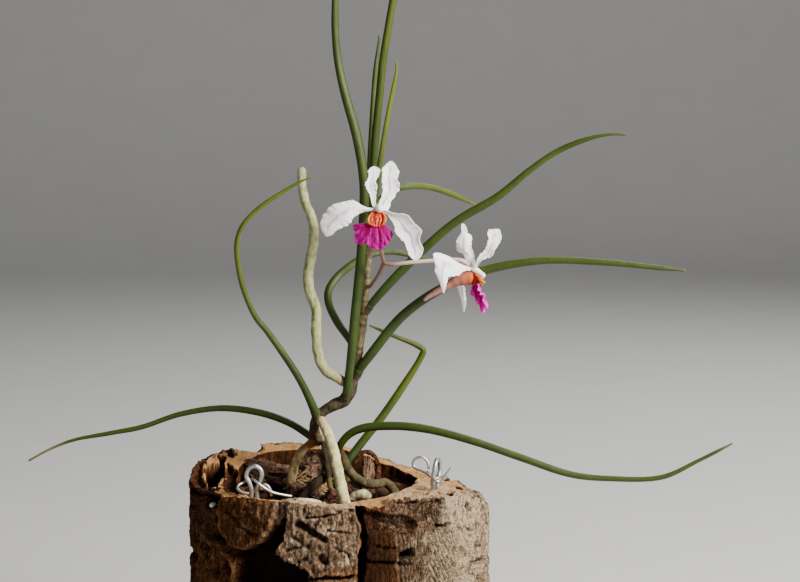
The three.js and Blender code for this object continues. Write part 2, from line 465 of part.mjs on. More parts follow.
const flowers = [
  {
    suffix: "front",
    column: {
      route: [[21.5, -22.2, 253.6], [22.2, -26, 254.6], [23, -30.6, 253.8]],
      radius: [[0, 1.7], [0.5, 1.9], [1, 1.8]],
    },
    spur: {
      route: [[20.4, -27.4, 249.4], [19.6, -26, 245.5], [18.7, -22.8, 241.3], [17.7, -20.2, 235.3],
        [17.2, -19, 229.6]],
      radius: [[0, 1.9], [0.3, 1.6], [0.6, 1.1], [1, 0.95]],
    },
    lobes: {
      top: [20.6, -26.6, 253.6], bottom: [20.2, -29.2, 247.6], right: [1, 0, 0], front: [0, -1, 0.1],
      halfWidth: 5, rise: 2.2,
    },
    lip: { neck: [19.9, -30, 247.4], right: [1, 0, 0], down: [0, -0.12, -0.99], front: [0, -0.99, 0.12] },
    tepals: {
      sepal_lateral_left: {
        route: [[18.4, -26, 254.2], [12.5, -28, 254.8], [6.8, -28.5, 253.4], [0.9, -27.5, 250.4],
          [-3.9, -25.5, 245.4], [-5.9, -24, 242.4]],
        halfWidths: [[0, 1.2], [0.2, 2.3], [0.45, 4.4], [0.75, 5.4], [0.92, 3.6], [1, 1.6]],
        face: [0.1, -1, 0.1], cup: 0.9,
      },
      sepal_lateral_right: {
        route: [[24.4, -26, 253], [30.3, -29, 250.1], [34.1, -31, 244.9], [37, -32, 239.2], [39.4, -32, 231]],
        halfWidths: [[0, 1.2], [0.2, 3], [0.5, 5.3], [0.78, 5], [0.93, 3.4], [1, 1.8]],
        face: [-0.1, -1, 0.1], cup: 0.9, phase: 1,
      },
      petal_left: {
        route: [[20.2, -25, 256], [19.2, -25, 261.4], [18.3, -24, 267.6], [19.2, -22, 274.7]],
        halfWidths: [[0, 0.9], [0.35, 1.6], [0.6, 3.3], [0.85, 2.8], [1, 1.5]],
        face: [-0.3, -1, 0.1], cup: 0.4, wave: 0.4, phase: 2,
      },
      sepal_dorsal: {
        route: [[22.6, -24.4, 256.3], [24, -24.5, 261.3], [26.9, -23, 268.5], [27.4, -20, 277.5]],
        halfWidths: [[0, 1.2], [0.3, 2.4], [0.6, 4.3], [0.85, 3.6], [1, 1.4]],
        face: [0, -1, -0.1], cup: 0.5, phase: 0.6,
      },
      petal_right: {
        route: [[25, -24, 254.8], [26.9, -20, 257], [28.8, -12.5, 260.6]],
        halfWidths: [[0, 0.9], [0.4, 2], [0.7, 3.4], [1, 1.5]],
        face: [-0.7, -0.3, 0.5], cup: 0.4, wave: 0.4, phase: 3,
      },
    },
  },
  {
    suffix: "side",
    column: {
      route: [[66.6, -20.4, 226.4], [70, -21, 224.8], [74, -22, 222.3]],
      radius: [[0, 1.6], [0.6, 1.6], [1, 1.3]],
    },
    spur: {
      route: [[68.8, -20.4, 219.6], [64, -20.2, 219.9], [59, -20, 218.6], [53.6, -20, 216.6],
        [46.3, -20, 211.8], [42.6, -20, 209.2]],
      radius: [[0, 2.1], [0.3, 2.3], [0.6, 1.7], [1, 0.95]],
    },
    lobes: {
      top: [68.4, -20.4, 222.6], bottom: [70.6, -20.8, 218], right: [0.25, 0.97, 0], front: [0.84, -0.2, 0.5],
      halfWidth: 4, rise: 2.4,
    },
    lip: {
      neck: [70.4, -21, 216.4], right: [0.3, 0.95, 0.1], down: [0.42, -0.1, -0.9], front: [0.86, -0.3, 0.42],
      spread: 0.85,
    },
    tepals: {
      sepal_lateral_near: {
        route: [[65.2, -22.6, 225.2], [58.8, -27, 226.7], [54, -30, 226.2], [51.2, -32, 221.8],
          [51.7, -32, 217.8], [52.5, -31, 214.5]],
        halfWidths: [[0, 1], [0.2, 2.6], [0.45, 6], [0.62, 6.2], [0.8, 2.6], [1, 1]],
        face: [-0.2, -1, 0.1], cup: 0.6, wave: 0.3,
      },
      petal_near: {
        route: [[68.8, -22.8, 227.8], [71.9, -24, 232.7], [75.7, -25, 236.2], [77.1, -25, 240.6],
          [78.6, -24, 244.4]],
        halfWidths: [[0, 1], [0.3, 2.2], [0.6, 3.3], [0.9, 2.9], [1, 1.8]],
        face: [0.3, -1, 0.1], cup: 0.4, wave: 0.4, phase: 2,
      },
      sepal_dorsal: {
        route: [[66.6, -19.6, 228.3], [64.8, -20, 232.6], [63.3, -20, 237.7], [63.8, -19, 243.5]],
        halfWidths: [[0, 1.2], [0.4, 2.8], [0.65, 4], [0.9, 2.4], [1, 1.2]],
        face: [0.2, -1, 0], cup: -0.8, phase: 1,
      },
      petal_far: {
        route: [[66.8, -17.4, 227.6], [66, -14, 232.7], [64, -12, 239.4], [63.1, -11, 246.6]],
        halfWidths: [[0, 0.7], [0.3, 1.6], [0.62, 2.6], [0.85, 2.1], [1, 0.8]],
        face: [0.5, -1, 0], cup: 0.4, wave: 0.3, phase: 4,
      },
      sepal_lateral_far: {
        route: [[65.6, -17.2, 223.2], [62.8, -14, 216.6], [62.7, -12, 210.8], [63.7, -12, 205.9],
          [63.2, -12, 202.9]],
        halfWidths: [[0, 1], [0.4, 1.6], [0.65, 1.7], [0.85, 1.2], [1, 0.8]],
        face: [0.3, -1, 0], cup: 0.3, wave: 0.3, phase: 2,
      },
    },
  },
];
const columnShape = { sides: 8, steps: 5, across: [0, 0, 1] };
const spurShape = { sides: 8, steps: 9 };
for (const { suffix, column, spur, lobes, lip: lipShape, tepals } of flowers) {
  add(`column_${suffix}`, "column", (grow) => sweep(column.route, column.radius, columnShape, grow));
  add(`side_lobes_${suffix}`, "lobe", (grow) => sideLobes(lobes, grow));
  add(`lip_${suffix}`, "lip", (grow) => lip(lipShape, grow));
  add(`spur_${suffix}`, "spur", (grow) => sweep(spur.route, spur.radius, spurShape, grow));
  for (const [name, shape] of Object.entries(tepals)) {
    add(`${name}_${suffix}`, "sepal", (grow) => tepal(shape, grow));
  }
}

// Galvanised wire eyes pushed into the rim, each with a thin tie twisted round its neck
const wires = {
  wire_eye_left: {
    routes: [
      [[-39.2, -52, 106], [-39.2, -52, 117.5], [-39, -52, 122.4], [-39.9, -52, 125.8], [-41.4, -52, 129.1],
        [-40.3, -51.8, 132.4], [-37.4, -51.6, 133.8], [-34.7, -51.4, 132.2], [-34, -51.2, 129.2],
        [-35, -51, 126.2], [-36.3, -50.8, 122.8], [-36.3, -50.8, 116.7], [-36.3, -50.8, 108]],
    ],
    wire: EYE_WIRE, sides: 6, steps: 20,
  },
  wire_tie_left: {
    routes: [
      [[-20, -48.5, 118.6], [-24.1, -50, 119.6], [-29.3, -52, 121.4], [-33.7, -53.2, 124.3],
        [-36.5, -53, 126.4], [-38.3, -50.4, 127], [-40.4, -49.4, 126.6], [-42.6, -50.2, 125.8],
        [-45, -52, 124.8], [-45.6, -53.6, 123.6], [-44.2, -54.6, 122.4], [-42.2, -54.8, 121.5],
        [-40.2, -54.6, 121.2]],
      [[-34.3, -52.8, 122.6], [-33.8, -52.6, 124.6], [-32.6, -52.4, 125.1], [-31, -52.4, 124.1],
        [-29.9, -52.2, 122.3], [-29.6, -51, 119.4]],
    ],
    wire: TIE_WIRE, sides: 5, steps: 14,
  },
  wire_eye_right: {
    routes: [
      [[47.6, -34, 108], [47.6, -34, 122], [48.1, -34, 127], [49, -32.6, 131.5], [50, -30.4, 133.2],
        [50.9, -28.4, 131.6], [51.2, -27.6, 127.6], [50.4, -29, 123.6], [49.9, -30.4, 119],
        [49.9, -30.4, 109]],
    ],
    wire: EYE_WIRE, sides: 6, steps: 18,
  },
  wire_tie_right: {
    routes: [
      [[52, -33.5, 125.4], [49.5, -36.2, 125], [46.8, -35.8, 125.6], [44.4, -33, 126.9], [42.2, -31.5, 127.8],
        [40, -30.6, 128.4], [38.3, -30, 129.8], [38.1, -30, 131.8], [39.5, -30, 133.5], [42, -30, 134.2],
        [44, -30, 133.4], [45.4, -30.2, 131.3], [45.7, -31, 128.4]],
      [[47.8, -36.3, 125.3], [49.2, -37, 123.9], [50.6, -37, 123.2], [52.1, -36.6, 124.1],
        [54.5, -35.6, 127.3], [56.7, -34.6, 129.8]],
    ],
    wire: TIE_WIRE, sides: 5, steps: 14,
  },
};
for (const [name, { routes, wire, sides, steps }] of Object.entries(wires)) {
  add(name, "wire", (grow) => routes
    .map((route) => sweep(route, [[0, wire], [1, wire]], { sides, steps, blunt: true }, grow))
    .reduce((whole, part) => whole.add(part)));
}

// Height of the planting mix: banked up at the rear left, sunk at the rear right, lumpy all over
function mixHeight(x, y) {
  const bank = 6 * Math.exp(-(((x + 28) / 26) ** 2) - ((y - 28) / 24) ** 2);
  const dip = -12 * Math.exp(-(((x - 26) / 14) ** 2) - ((y - 12) / 22) ** 2);
  const lumps = 1.3 * Math.sin(x / 4.1 + 1) * Math.sin(y / 3.7) + 0.9 * Math.sin(x / 2.6 + y / 2.9);
  return MIX_LEVEL + bank + dip + lumps;
}

// A turned body whose profile gives, for each point, a part of the radius and a height code
function remap(profile, columns, move) {
  const body = new THREE.LatheGeometry(profile.map(([r, h]) => new THREE.Vector2(r, h)), columns);
  return solidOf(moveVertices(body, (point) => {
    const angle = Math.atan2(point.x, point.z);
    const [radius, height] = move(Math.hypot(point.x, point.z), point.y, THREE.MathUtils.radToDeg(angle));
    return [radius * Math.sin(angle), -radius * Math.cos(angle), height];
  }));
}

// A column of space inside the bark, used to keep the loose pieces off its wall
const hollow = remap([[0, 0], [1, 0], [1, 1], [0, 1]], MIX_COLUMNS, (part, level, angle) => [
  part * (between(HOLLOW, angle) - WALL_GAP - GAP),
  THREE.MathUtils.lerp(PLUG_THICKNESS + GAP, 2 * POT_HEIGHT, level),
]);

// Bark chunks on the mix: rough blocks with broken faces
const chunks = {
  chunk_rear_left: { size: [30, 15, 13], turn: [0.1, 0.15, 0.25], at: [-34, 27, 114] },
  chunk_centre: { size: [14, 9, 15], turn: [0.2, -0.3, 0.4], at: [-12.5, 8, 121] },
  chunk_standing: { size: [9.5, 6, 18], turn: [-0.15, 0.12, 0.2], at: [15.5, 29, 113.5] },
  chunk_front: { size: [8.5, 6, 9.5], turn: [0.3, 0.5, 0.2], at: [-1, -30, 112.5] },
  chunk_red: { size: [6.5, 5, 6], turn: [0.4, 0.2, 0.6], at: [-27, -13, 113] },
  chunk_tan: { size: [4.6, 4, 8.5], turn: [0.2, -0.2, 0.3], at: [-7.5, -26, 112.5] },
  chunk_right: { size: [10, 6.5, 5.5], turn: [0.1, -0.2, 0.5], at: [34, -11, 109] },
};
for (const [name, { size, turn, at }] of Object.entries(chunks)) {
  const place = new THREE.Matrix4().compose(
    vector(at), new THREE.Quaternion().setFromEuler(new THREE.Euler(...turn)), new THREE.Vector3(1, 1, 1),
  );
  add(name, "chunk", (grow) => solidOf(moveVertices(new THREE.BoxGeometry(1, 1, 1, 3, 3, 3), (point) => {
    const corner = 1 - 0.28 * Math.max(0, point.length() - 0.55) / 0.32;
    const rough = 1 + 0.13 * scatter(...point.clone().multiplyScalar(7).addScalar(at[0]).round());
    const full = new THREE.Vector3(...size).addScalar(2 * grow);
    return point.multiplyScalar(corner * rough).multiply(full).applyMatrix4(place);
  })).intersect(hollow));
}

// A pale bead lying in the crevice under the rim
const BEAD = { halfSize: [2, 1.6, 1.3], turn: 0.7, at: [-58.2, -41.4, 112.95] };
add("bead", "bead", (grow) => solidOf(
  new THREE.SphereGeometry(1, 8, 5).scale(...BEAD.halfSize.map((half) => half + grow))
    .rotateZ(BEAD.turn).translate(...BEAD.at),
));

// The planting mix, with plain holes where roots, leaf bases and the stem stand in it
const mixRings = [0, 0.2, 0.4, 0.6, 0.8, 1];
const mixProfile = [[0, 0], [1, 0], [1, 1], ...mixRings.slice(0, -1).reverse().map((ring) => [ring, 1])];
addMesh("bark_mix", "mix", trimmed(remap(mixProfile, MIX_COLUMNS, (part, level, angle) => {
  const radius = part * (between(HOLLOW, angle) - WALL_GAP);
  const turn = THREE.MathUtils.degToRad(angle);
  const top = mixHeight(radius * Math.sin(turn), -radius * Math.cos(turn));
  return [radius, level ? top : PLUG_THICKNESS + GAP];
})));

// The plug that closes the bottom of the tube, flush with its lower edge
addMesh("base_plug", "cork", remap([[0, 0], [1, 0], [1, 1], [0, 1]], MIX_COLUMNS, (part, level, angle) => [
  part * (between(HOLLOW, angle) - WALL_GAP), PLUG_THICKNESS * level,
]));

// The bark tube: outside, sawn rim, hollow and flat foot in one closed ring
function outerRadius(angle, height) {
  const radius = between(OUTSIDE, angle);
  const { smoothstep } = THREE.MathUtils;
  const reach = (value, [low, high], edge) => (
    smoothstep(value, low - edge, low) * (1 - smoothstep(value, high, high + edge))
  );
  const degrees = THREE.MathUtils.radToDeg(BARK_EDGE / radius);
  return BARK.reduce((sum, { angles, heights, out }) => (
    sum + out * reach(angle, angles, degrees) * reach(height, heights, BARK_EDGE)
  ), radius);
}
const wallProfile = [];
for (let i = 0; i <= WALL_ROWS; i++) wallProfile.push([2, i / WALL_ROWS]);
wallProfile.push([1.66, 1], [1.33, 1], [1, 1], [1, 0.7], [1, 0.3], [1, 0], [2, 0]);
const tube = remap(wallProfile, POT_COLUMNS, (layer, level, angle) => {
  const inward = 2 - layer;
  const top = THREE.MathUtils.lerp(between(RIM_OUTER, angle), between(RIM_INNER, angle), inward);
  const height = level * top;
  const roughness = 0.8 * scatter(Math.round(angle), Math.round(20 * level), 3) * level * (1 - level) * 4;
  const outer = outerRadius(angle, height) + roughness;
  return [THREE.MathUtils.lerp(outer, between(HOLLOW, angle), inward), height];
});
const pocketed = POCKETS.reduce((rest, { route, radius, stretch }) => (
  rest.subtract(sweep(route, [[0, 0.7 * radius], [0.3, radius], [1, 0.8 * radius]],
    { sides: 8, steps: 4, across: [0, 0, 1], stretch }))
), tube);
addMesh("cork_tube", "cork", trimmed(pocketed));

export default orchid;
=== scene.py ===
# The looks of a Holcoglossum orchid that grows in a cork bark tube.
# Shapes are written in millimetres and scaled to the frame's metres when a piece is finished.
import bisect
import math
import random

import bmesh
import bpy
from mathutils import Euler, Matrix, Vector, geometry, noise


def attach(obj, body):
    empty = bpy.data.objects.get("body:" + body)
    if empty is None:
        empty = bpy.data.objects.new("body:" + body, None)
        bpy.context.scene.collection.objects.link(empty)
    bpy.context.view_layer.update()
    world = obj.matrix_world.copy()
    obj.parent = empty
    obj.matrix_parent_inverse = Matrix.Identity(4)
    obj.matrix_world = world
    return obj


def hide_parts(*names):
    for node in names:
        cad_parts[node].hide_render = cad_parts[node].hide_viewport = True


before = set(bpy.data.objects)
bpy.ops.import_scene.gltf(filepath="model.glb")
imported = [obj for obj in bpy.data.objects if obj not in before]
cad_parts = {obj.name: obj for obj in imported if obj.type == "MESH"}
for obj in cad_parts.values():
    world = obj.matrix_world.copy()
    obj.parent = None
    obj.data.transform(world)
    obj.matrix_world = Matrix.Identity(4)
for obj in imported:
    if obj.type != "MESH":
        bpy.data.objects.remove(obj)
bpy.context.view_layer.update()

MM = 0.001
MERGE = 1e-4
CAP_ROWS = 4

# Camera: a short telephoto that looks a little down on the rim
CAMERA_PLACE = (0.03175, -1.09435, 0.33287)
CAMERA_DOWN = 6.3
CAMERA_LENS = 100
CAMERA_SENSOR = 36

# The tube. Angles run from the front, positive to the right.
POT_HEIGHT = 120
PLUG_THICKNESS = 14
MIX_LEVEL = 108
WALL_GAP = 0.5
RIM_OUTER = [
    (-180, 121), (-150, 124.5), (-143, 124.7), (-141, 120.4), (-138, 121), (-134, 122.7), (-128, 124.6),
    (-104, 123.5), (-90, 120), (-66, 118), (-47, 119.5), (-30, 121), (-10, 120), (5, 118), (18, 117),
    (24, 120.5), (36, 119.4), (48, 118.7), (56, 117.5), (62, 116.5), (70, 113.6), (80, 112.4), (92, 111),
    (102, 109), (112, 108.4), (122, 109), (135, 110), (150, 112), (164, 116), (172, 119), (180, 121),
]
RIM_INNER = [
    (-180, 122), (-140, 123), (-90, 119), (-58, 118.5), (-45, 116.6), (-28, 116.4), (-18, 117.4), (0, 116.5),
    (18, 118), (42, 118.8), (55, 118.6), (66, 118.3), (80, 117), (92, 115.8), (110, 112), (140, 112),
    (155, 114.5), (170, 119), (180, 122),
]
HOLLOW = [
    (-180, 58), (-145, 59), (-119, 54), (-90, 49), (-70, 51), (-45, 58), (-20, 58), (8, 57),
    (22, 55), (36, 50), (51, 45), (68, 42), (90, 38), (126, 37), (149, 42), (165, 52), (180, 58),
]
OUTSIDE = [
    (-180, 71), (-150, 72), (-120, 72), (-90, 73), (-60, 72.5), (-35, 73), (-15, 73), (0, 73.5),
    (15, 72), (35, 72), (60, 73), (90, 73.5), (120, 73), (150, 71), (180, 71),
]

# Bark outlines as (angle, height) corners, or two opposite ones, and how far each stands out or is sunk
BARK = [
    ([(-47, 130), (-47, 111), (-46, 102), (-43, 99), (-39.5, 95.8), (-34, 95.3), (-31, 98), (-28, 99),
      (-25, 103), (-22.5, 109.5), (-21, 114.5), (-20.5, 130)], 3),
    ([(-21.5, 122), (-20.5, 113), (-19.9, 109.7), (-17.2, 114.7), (-16, 117.2), (-16.5, 122)], 0.8),
    ([(-15.5, 130), (-16, 115), (-16.6, 107), (-18.2, 102.7), (-20, 98.5), (-20.6, 95.3), (-17.3, 92.4),
      (-13.4, 90.3), (-9, 87.4), (-6, 85.8), (0, 86), (5, 87), (8.3, 86), (8.6, 94), (10, 101), (9.6, 109),
      (8.2, 116), (8, 130)], 2.6),
    ([(-8, 83.5), (0, 84), (8.6, 85), (9, 76), (8, 60), (-6, 60), (-10, 70), (-10, 78)], 2.2),
    ([(-41, 97), (-39, 91), (-39.5, 85), (-41, 72), (-12, 72), (-11, 78), (-9, 84), (-8, 87.5), (-13, 90.5),
      (-17, 92.5), (-20.5, 95.3), (-20, 98.5), (-18, 103), (-17, 107), (-16.2, 115), (-16.8, 117),
      (-17.8, 113), (-20, 109), (-22.5, 109.5), (-25, 103), (-28, 99), (-31, 98), (-34, 95.5)], -9),
    ([(8.2, 130), (8.3, 116), (10, 109), (10.4, 102), (9, 94), (9, 86), (9.2, 76), (8.6, 0), (12, 0),
      (12.4, 76), (12, 84), (13.6, 91), (13.4, 98), (13.4, 105), (12.4, 112), (12.6, 116)], -8),
    ([(11, 116), (19.6, 115.4), (25, 113), (29, 112.6), (32.7, 109.4), (34, 104.4), (24, 104.8),
      (13, 105.2)], -3),
    ([(24, 119.6), (42.3, 118), (42, 107), (38.4, 107), (33.7, 108.2), (30.8, 113.5), (28.4, 116),
      (24, 116.4)], -1.8),
    ([(28.4, 118.6), (34, 118.4), (33.4, 116.3), (31, 116.6)], -7),
    ([(42.3, 118.4), (47.3, 117.6), (47.2, 114.2), (45.7, 111), (46.9, 106), (49, 105.5), (49, 103.7), (46, 104.3),
      (43.4, 102.8), (41.9, 107), (43, 113)], -9),
    ([(47.5, 80), (48, 103), (49.4, 106), (47.4, 110), (48, 114), (48, 119), (62, 118), (62, 84)], 1.2),
    ([(62.5, 84.4), (62, 102), (61, 110), (66, 112), (90, 112), (90, 80), (78, 82), (70, 84.4)], 2.4),
    ([(64.7, 83.8), (78, 81), (90, 80), (90, 77.6), (78, 78.6), (64.7, 82)], -6),
    ([(66, 60), (66, 81), (78, 77.6), (90, 76), (92, 62)], 2.2),
    ([(-60, 117.6), (-56, 118.6), (-47, 119), (-46.8, 113), (-51.4, 112.6), (-58, 111.3), (-60.6, 112.5),
      (-59, 115.5)], -9),
    ([(-51, 111), (-47.3, 111.3), (-46.6, 103), (-43.5, 98.5), (-45, 95), (-49, 97), (-51, 104)], -5),
    ([(-61, 98), (-55, 96), (-49, 96.5), (-45, 92.5), (-41, 91), (-40, 85), (-41, 70), (-60, 66), (-64, 80),
      (-63, 90)], 2),
    ([(-60, 94.5), (-55, 95.5), (-52.5, 93), (-55, 90.5), (-59, 91)], -4),
    ([(-51.5, 84), (-48, 85), (-47, 81.5), (-49.5, 79.5), (-52, 81)], -4),
    ([(-34, 30), (-14, 71)], 2.6), ([(-8, 6), (8, 58)], 2), ([(-51, 4), (-46, 64)], -5),
    ([(15, 12), (40, 66)], 2), ([(40, 0), (45, 72)], -5), ([(47, 18), (64, 76)], 3),
    ([(82, 8), (87, 76)], -5), ([(90, 60), (116, 104)], 2.5),
    ([(90, 8), (122, 54)], 3), ([(118, 0), (124, 112)], -7), ([(126, 40), (158, 100)], 2.6),
    ([(130, 6), (150, 34)], 2), ([(160, 0), (166, 118)], -6), ([(-180, 52), (-158, 114)], 2.4),
    ([(-178, 4), (-150, 44)], 2.8), ([(-148, 0), (-142, 126)], -7),
    ([(-138, 66), (-112, 118)], 2.8), ([(-134, 10), (-110, 58)], 2),
    ([(-106, 0), (-100, 112)], -6), ([(-96, 80), (-66, 86)], -3), ([(-94, 8), (-56, 62)], 1.6),
    ([(-78, 4), (-73, 78)], -4),
]

BARK_EDGE = 1.3

BARK_ARC = math.radians(1) * 72.5

# Cracks, pits and bored holes in the bark: two (angle, height) ends, half width and depth
CRACKS = [
    ((-9, 113), (7, 117), 0.6, 2.4), ((-12, 110), (-3, 103.5), 1.5, 5), ((-4, 94.5), (-2, 93), 1.7, 4),
    ((-16, 98), (-8, 100), 0.8, 2), ((-1, 108), (6, 106), 0.6, 1.6), ((-14, 104), (-11, 101), 0.9, 2.4),
    ((2, 99), (6, 96), 0.8, 2), ((-12, 92), (-9, 95), 0.8, 2), ((-9, 84), (9, 85.6), 0.7, 4),
    ((14, 105.2), (33, 103.8), 0.5, 1.4), ((13, 91.3), (30.5, 88.8), 0.7, 3.4), ((28, 93.4), (30.4, 93.2), 2.3, 9),
    ((17, 111.6), (28, 106), 0.5, 1.4), ((60, 111.4), (62, 110), 1.5, 4), ((46.5, 104.8), (48.5, 104.4), 1.3, 5),
    ((-53, 98.4), (-49, 97.6), 1.2, 3.5), ((-44, 87), (-42, 84), 1.6, 3.5),
    ((-58, 91), (-55, 88), 1.2, 3), ((-89, 113.4), (-77, 115), 1.1, 6), ((-77, 115), (-58, 118), 1.1, 7),
    ((-84, 106), (-70, 108), 1, 2.2), ((-90, 96), (-80, 94), 0.9, 2), ((-72, 96), (-67, 90), 1.2, 2.6),
    ((-42, 113), (-36, 108), 0.7, 1.6), ((-36, 107), (-28, 103), 0.8, 2), ((-33, 115), (-29, 110), 0.6, 1.4),
    ((16, 98), (24, 97), 0.6, 1.6), ((53, 104), (56, 100), 0.8, 2), ((66, 101), (68, 98.5), 1.5, 3.4),
    ((73, 95.5), (75, 94), 1.5, 3.4), ((60, 100), (62, 97), 1.1, 3), ((51, 93), (52.5, 92), 0.8, 2),
    ((57, 91), (60, 87), 1.1, 2.6), ((50, 86), (52, 83), 0.8, 2), ((66, 92), (70, 88), 1.1, 2.6),
    ((76, 108), (79, 103), 1.3, 3), ((77, 76), (80, 74), 1.5, 3.4), ((68, 74), (74, 70), 1.6, 3.6),
    ((95, 84), (112, 80), 0.9, 2.4), ((130, 72), (152, 76), 0.9, 2.6), ((-170, 84), (-160, 80), 1, 2.6),
    ((-130, 96), (-116, 92), 1, 2.4), ((-128, 34), (-114, 30), 1, 2.4), ((20, 44), (38, 40), 0.9, 2.6),
    ((-30, 56), (-18, 52), 1, 2.4), ((-88, 40), (-70, 36), 1, 2.4), ((100, 30), (118, 34), 0.9, 2.4),
    ((54, 52), (70, 48), 1, 2.6), ((-6, 44), (6, 47), 0.9, 2.4), ((176, 60), (168, 66), 1.4, 3),
]

# How strongly the bark's surface is fibrous, striped, pitted and weathered, by angle,
# and how much of the rim's width is bark that was not sawn
FIBRES = [(-180, 0.5), (-60, 0.4), (-22, 0.5), (-14, 0.9), (8, 0.9), (12, 0.15), (32, 0.1), (60, 0.3),
          (120, 0.7), (180, 0.5)]
STRIPES = [(-180, 0.2), (-140, 0), (12, 0), (15, 0.35), (24, 0.6), (30, 1), (49, 1), (56, 0.2), (100, 0),
           (140, 0.5), (165, 0.1), (180, 0.2)]
PITTING = [(-180, 0.6), (-110, 1), (-50, 0.8), (-20, 0.6), (8, 0.6), (13, 0), (44, 0), (54, 0.4), (62, 1.1),
           (110, 0.8), (180, 0.6)]
WEATHERED = [(-180, 0.2), (-90, 0.1), (-48, 0.08), (-24, 0.2), (-16, 0.55), (8, 0.57), (12, 0.16), (24, 0.3),
             (32, 0.6), (40, 0.78), (48, 0.9), (58, 0.92), (66, 0.8), (88, 0.7), (106, 0.3), (150, 0.2), (180, 0.2)]

BARK_ON_RIM = [(-180, 0), (-114, 0), (-102, 2.5), (-92, 4.6), (-62, 4.6), (-55, 1), (-47, 0), (62, 0), (72, 2),
               (88, 2.6), (100, 1), (112, 0), (180, 0)]

# Parts of the bark that are browner or greyer: two opposite (angle, height) corners and by how much. The first one,
# beside the deep groove, is browner bark and also painted shade.
STAINS_AND_SHADE = [((11, 40), (22, 104), -0.42), ((-20, 40), (10, 89), -0.3), ((31, 105), (43, 120), -0.3),
          ((46, 30), (60, 98), 0.12)]

# The hollow as it shows at the rim: wider at the rear right than lower down
OPENING = [
    (-180, 60), (-145, 59), (-119, 54), (-90, 49), (-70, 51), (-45, 58), (-20, 58), (8, 57), (22, 55),
    (36, 50), (51, 45), (68, 42), (90, 40), (104, 41), (116, 44), (130, 52), (142, 57), (155, 60), (180, 60),
]

# Hollows sunk into the sawn rim: (x, y) corners and depth
RIM_HOLLOWS = [
    ([(-66.5, 14), (-63, 17), (-58, 19), (-55.5, 2), (-57, -15), (-57.5, -28), (-61.5, -27), (-64.5, -11.5)], 16),
    ([(-56, 20), (-52, 14), (-46, 12), (-43, 4), (-43, -22), (-50.5, -25), (-56, -22), (-55, 0)], 4),
    ([(-59.5, 41), (-56, 43), (-52.5, 34), (-54, 28), (-56.5, 29)], 8),
    ([(-62, 31.5), (-58.5, 31.5), (-57, 22), (-59.5, 16)], 4),
    ([(-68, 20), (-66, 23), (-66, 18), (-67.5, 15)], 2.5),
    ([(-58, -24), (-50, -22), (-44, -24), (-41, -36), (-46, -44), (-57, -38)], 2.6),
    ([(46, -34.5), (51.5, -33.5), (58, -37), (56.5, -46), (51, -48), (49.5, -39.5)], 8),
    ([(40.5, -43), (43, -41), (47, -44.5), (44.5, -46.5)], 5),
    ([(41, -50), (44, -48), (44.4, -52), (41.5, -53)], 5),
    ([(50.5, 12), (54.5, 16), (60, 4), (64, -9), (66, -14), (62, -13), (58, -6), (53, -1)], 8),
    ([(64, -2), (68.5, -6), (69, -9), (65, -6.5)], 5),
    ([(58, -29), (62, -24), (63, -30), (60, -34)], 3),
    ([(44, 40), (51, 38), (50, 36), (45, 38)], 3), ([(-24, -54), (-6, -56), (-5, -60), (-22, -59)], 2.4),
    ([(-10, 63), (6, 63), (4, 66), (-8, 66)], 2), ([(30, -60), (37, -58), (36, -61)], 2),
]

# Stem
STEM = [
    (0, 8, 98), (0.5, 7, 112), (0.8, 5, 124), (-0.5, 2.5, 132), (-5, 1, 136), (-9.5, 0, 138.5),
    (-11, -1, 143), (-9.8, -2, 148.5), (-6, -2, 152.3), (-1, -2, 155.2), (4, -1, 157.5), (7.4, 0, 162),
    (8.8, 1, 168.4), (10.4, 1, 176.4), (12.3, 2, 189.8), (13.9, 2, 202.3), (14.9, 2, 214.8),
    (16.4, 3, 232.2), (17.7, 4, 250),
]
STEM_RADIUS = [
    (0, 3.6), (0.12, 3.4), (0.2, 2.8), (0.3, 2.4), (0.36, 2.5), (0.42, 3.1), (0.46, 2.7), (0.5, 2.4),
    (0.52, 2.6), (0.6, 2.1), (0.68, 2.3), (0.74, 1.7), (0.8, 1.9), (0.86, 1.5), (1, 1.5),
]
STEM_RINGS = [0.17, 0.24, 0.3, 0.36, 0.44, 0.52, 0.59, 0.66, 0.73, 0.8, 0.88, 0.94]

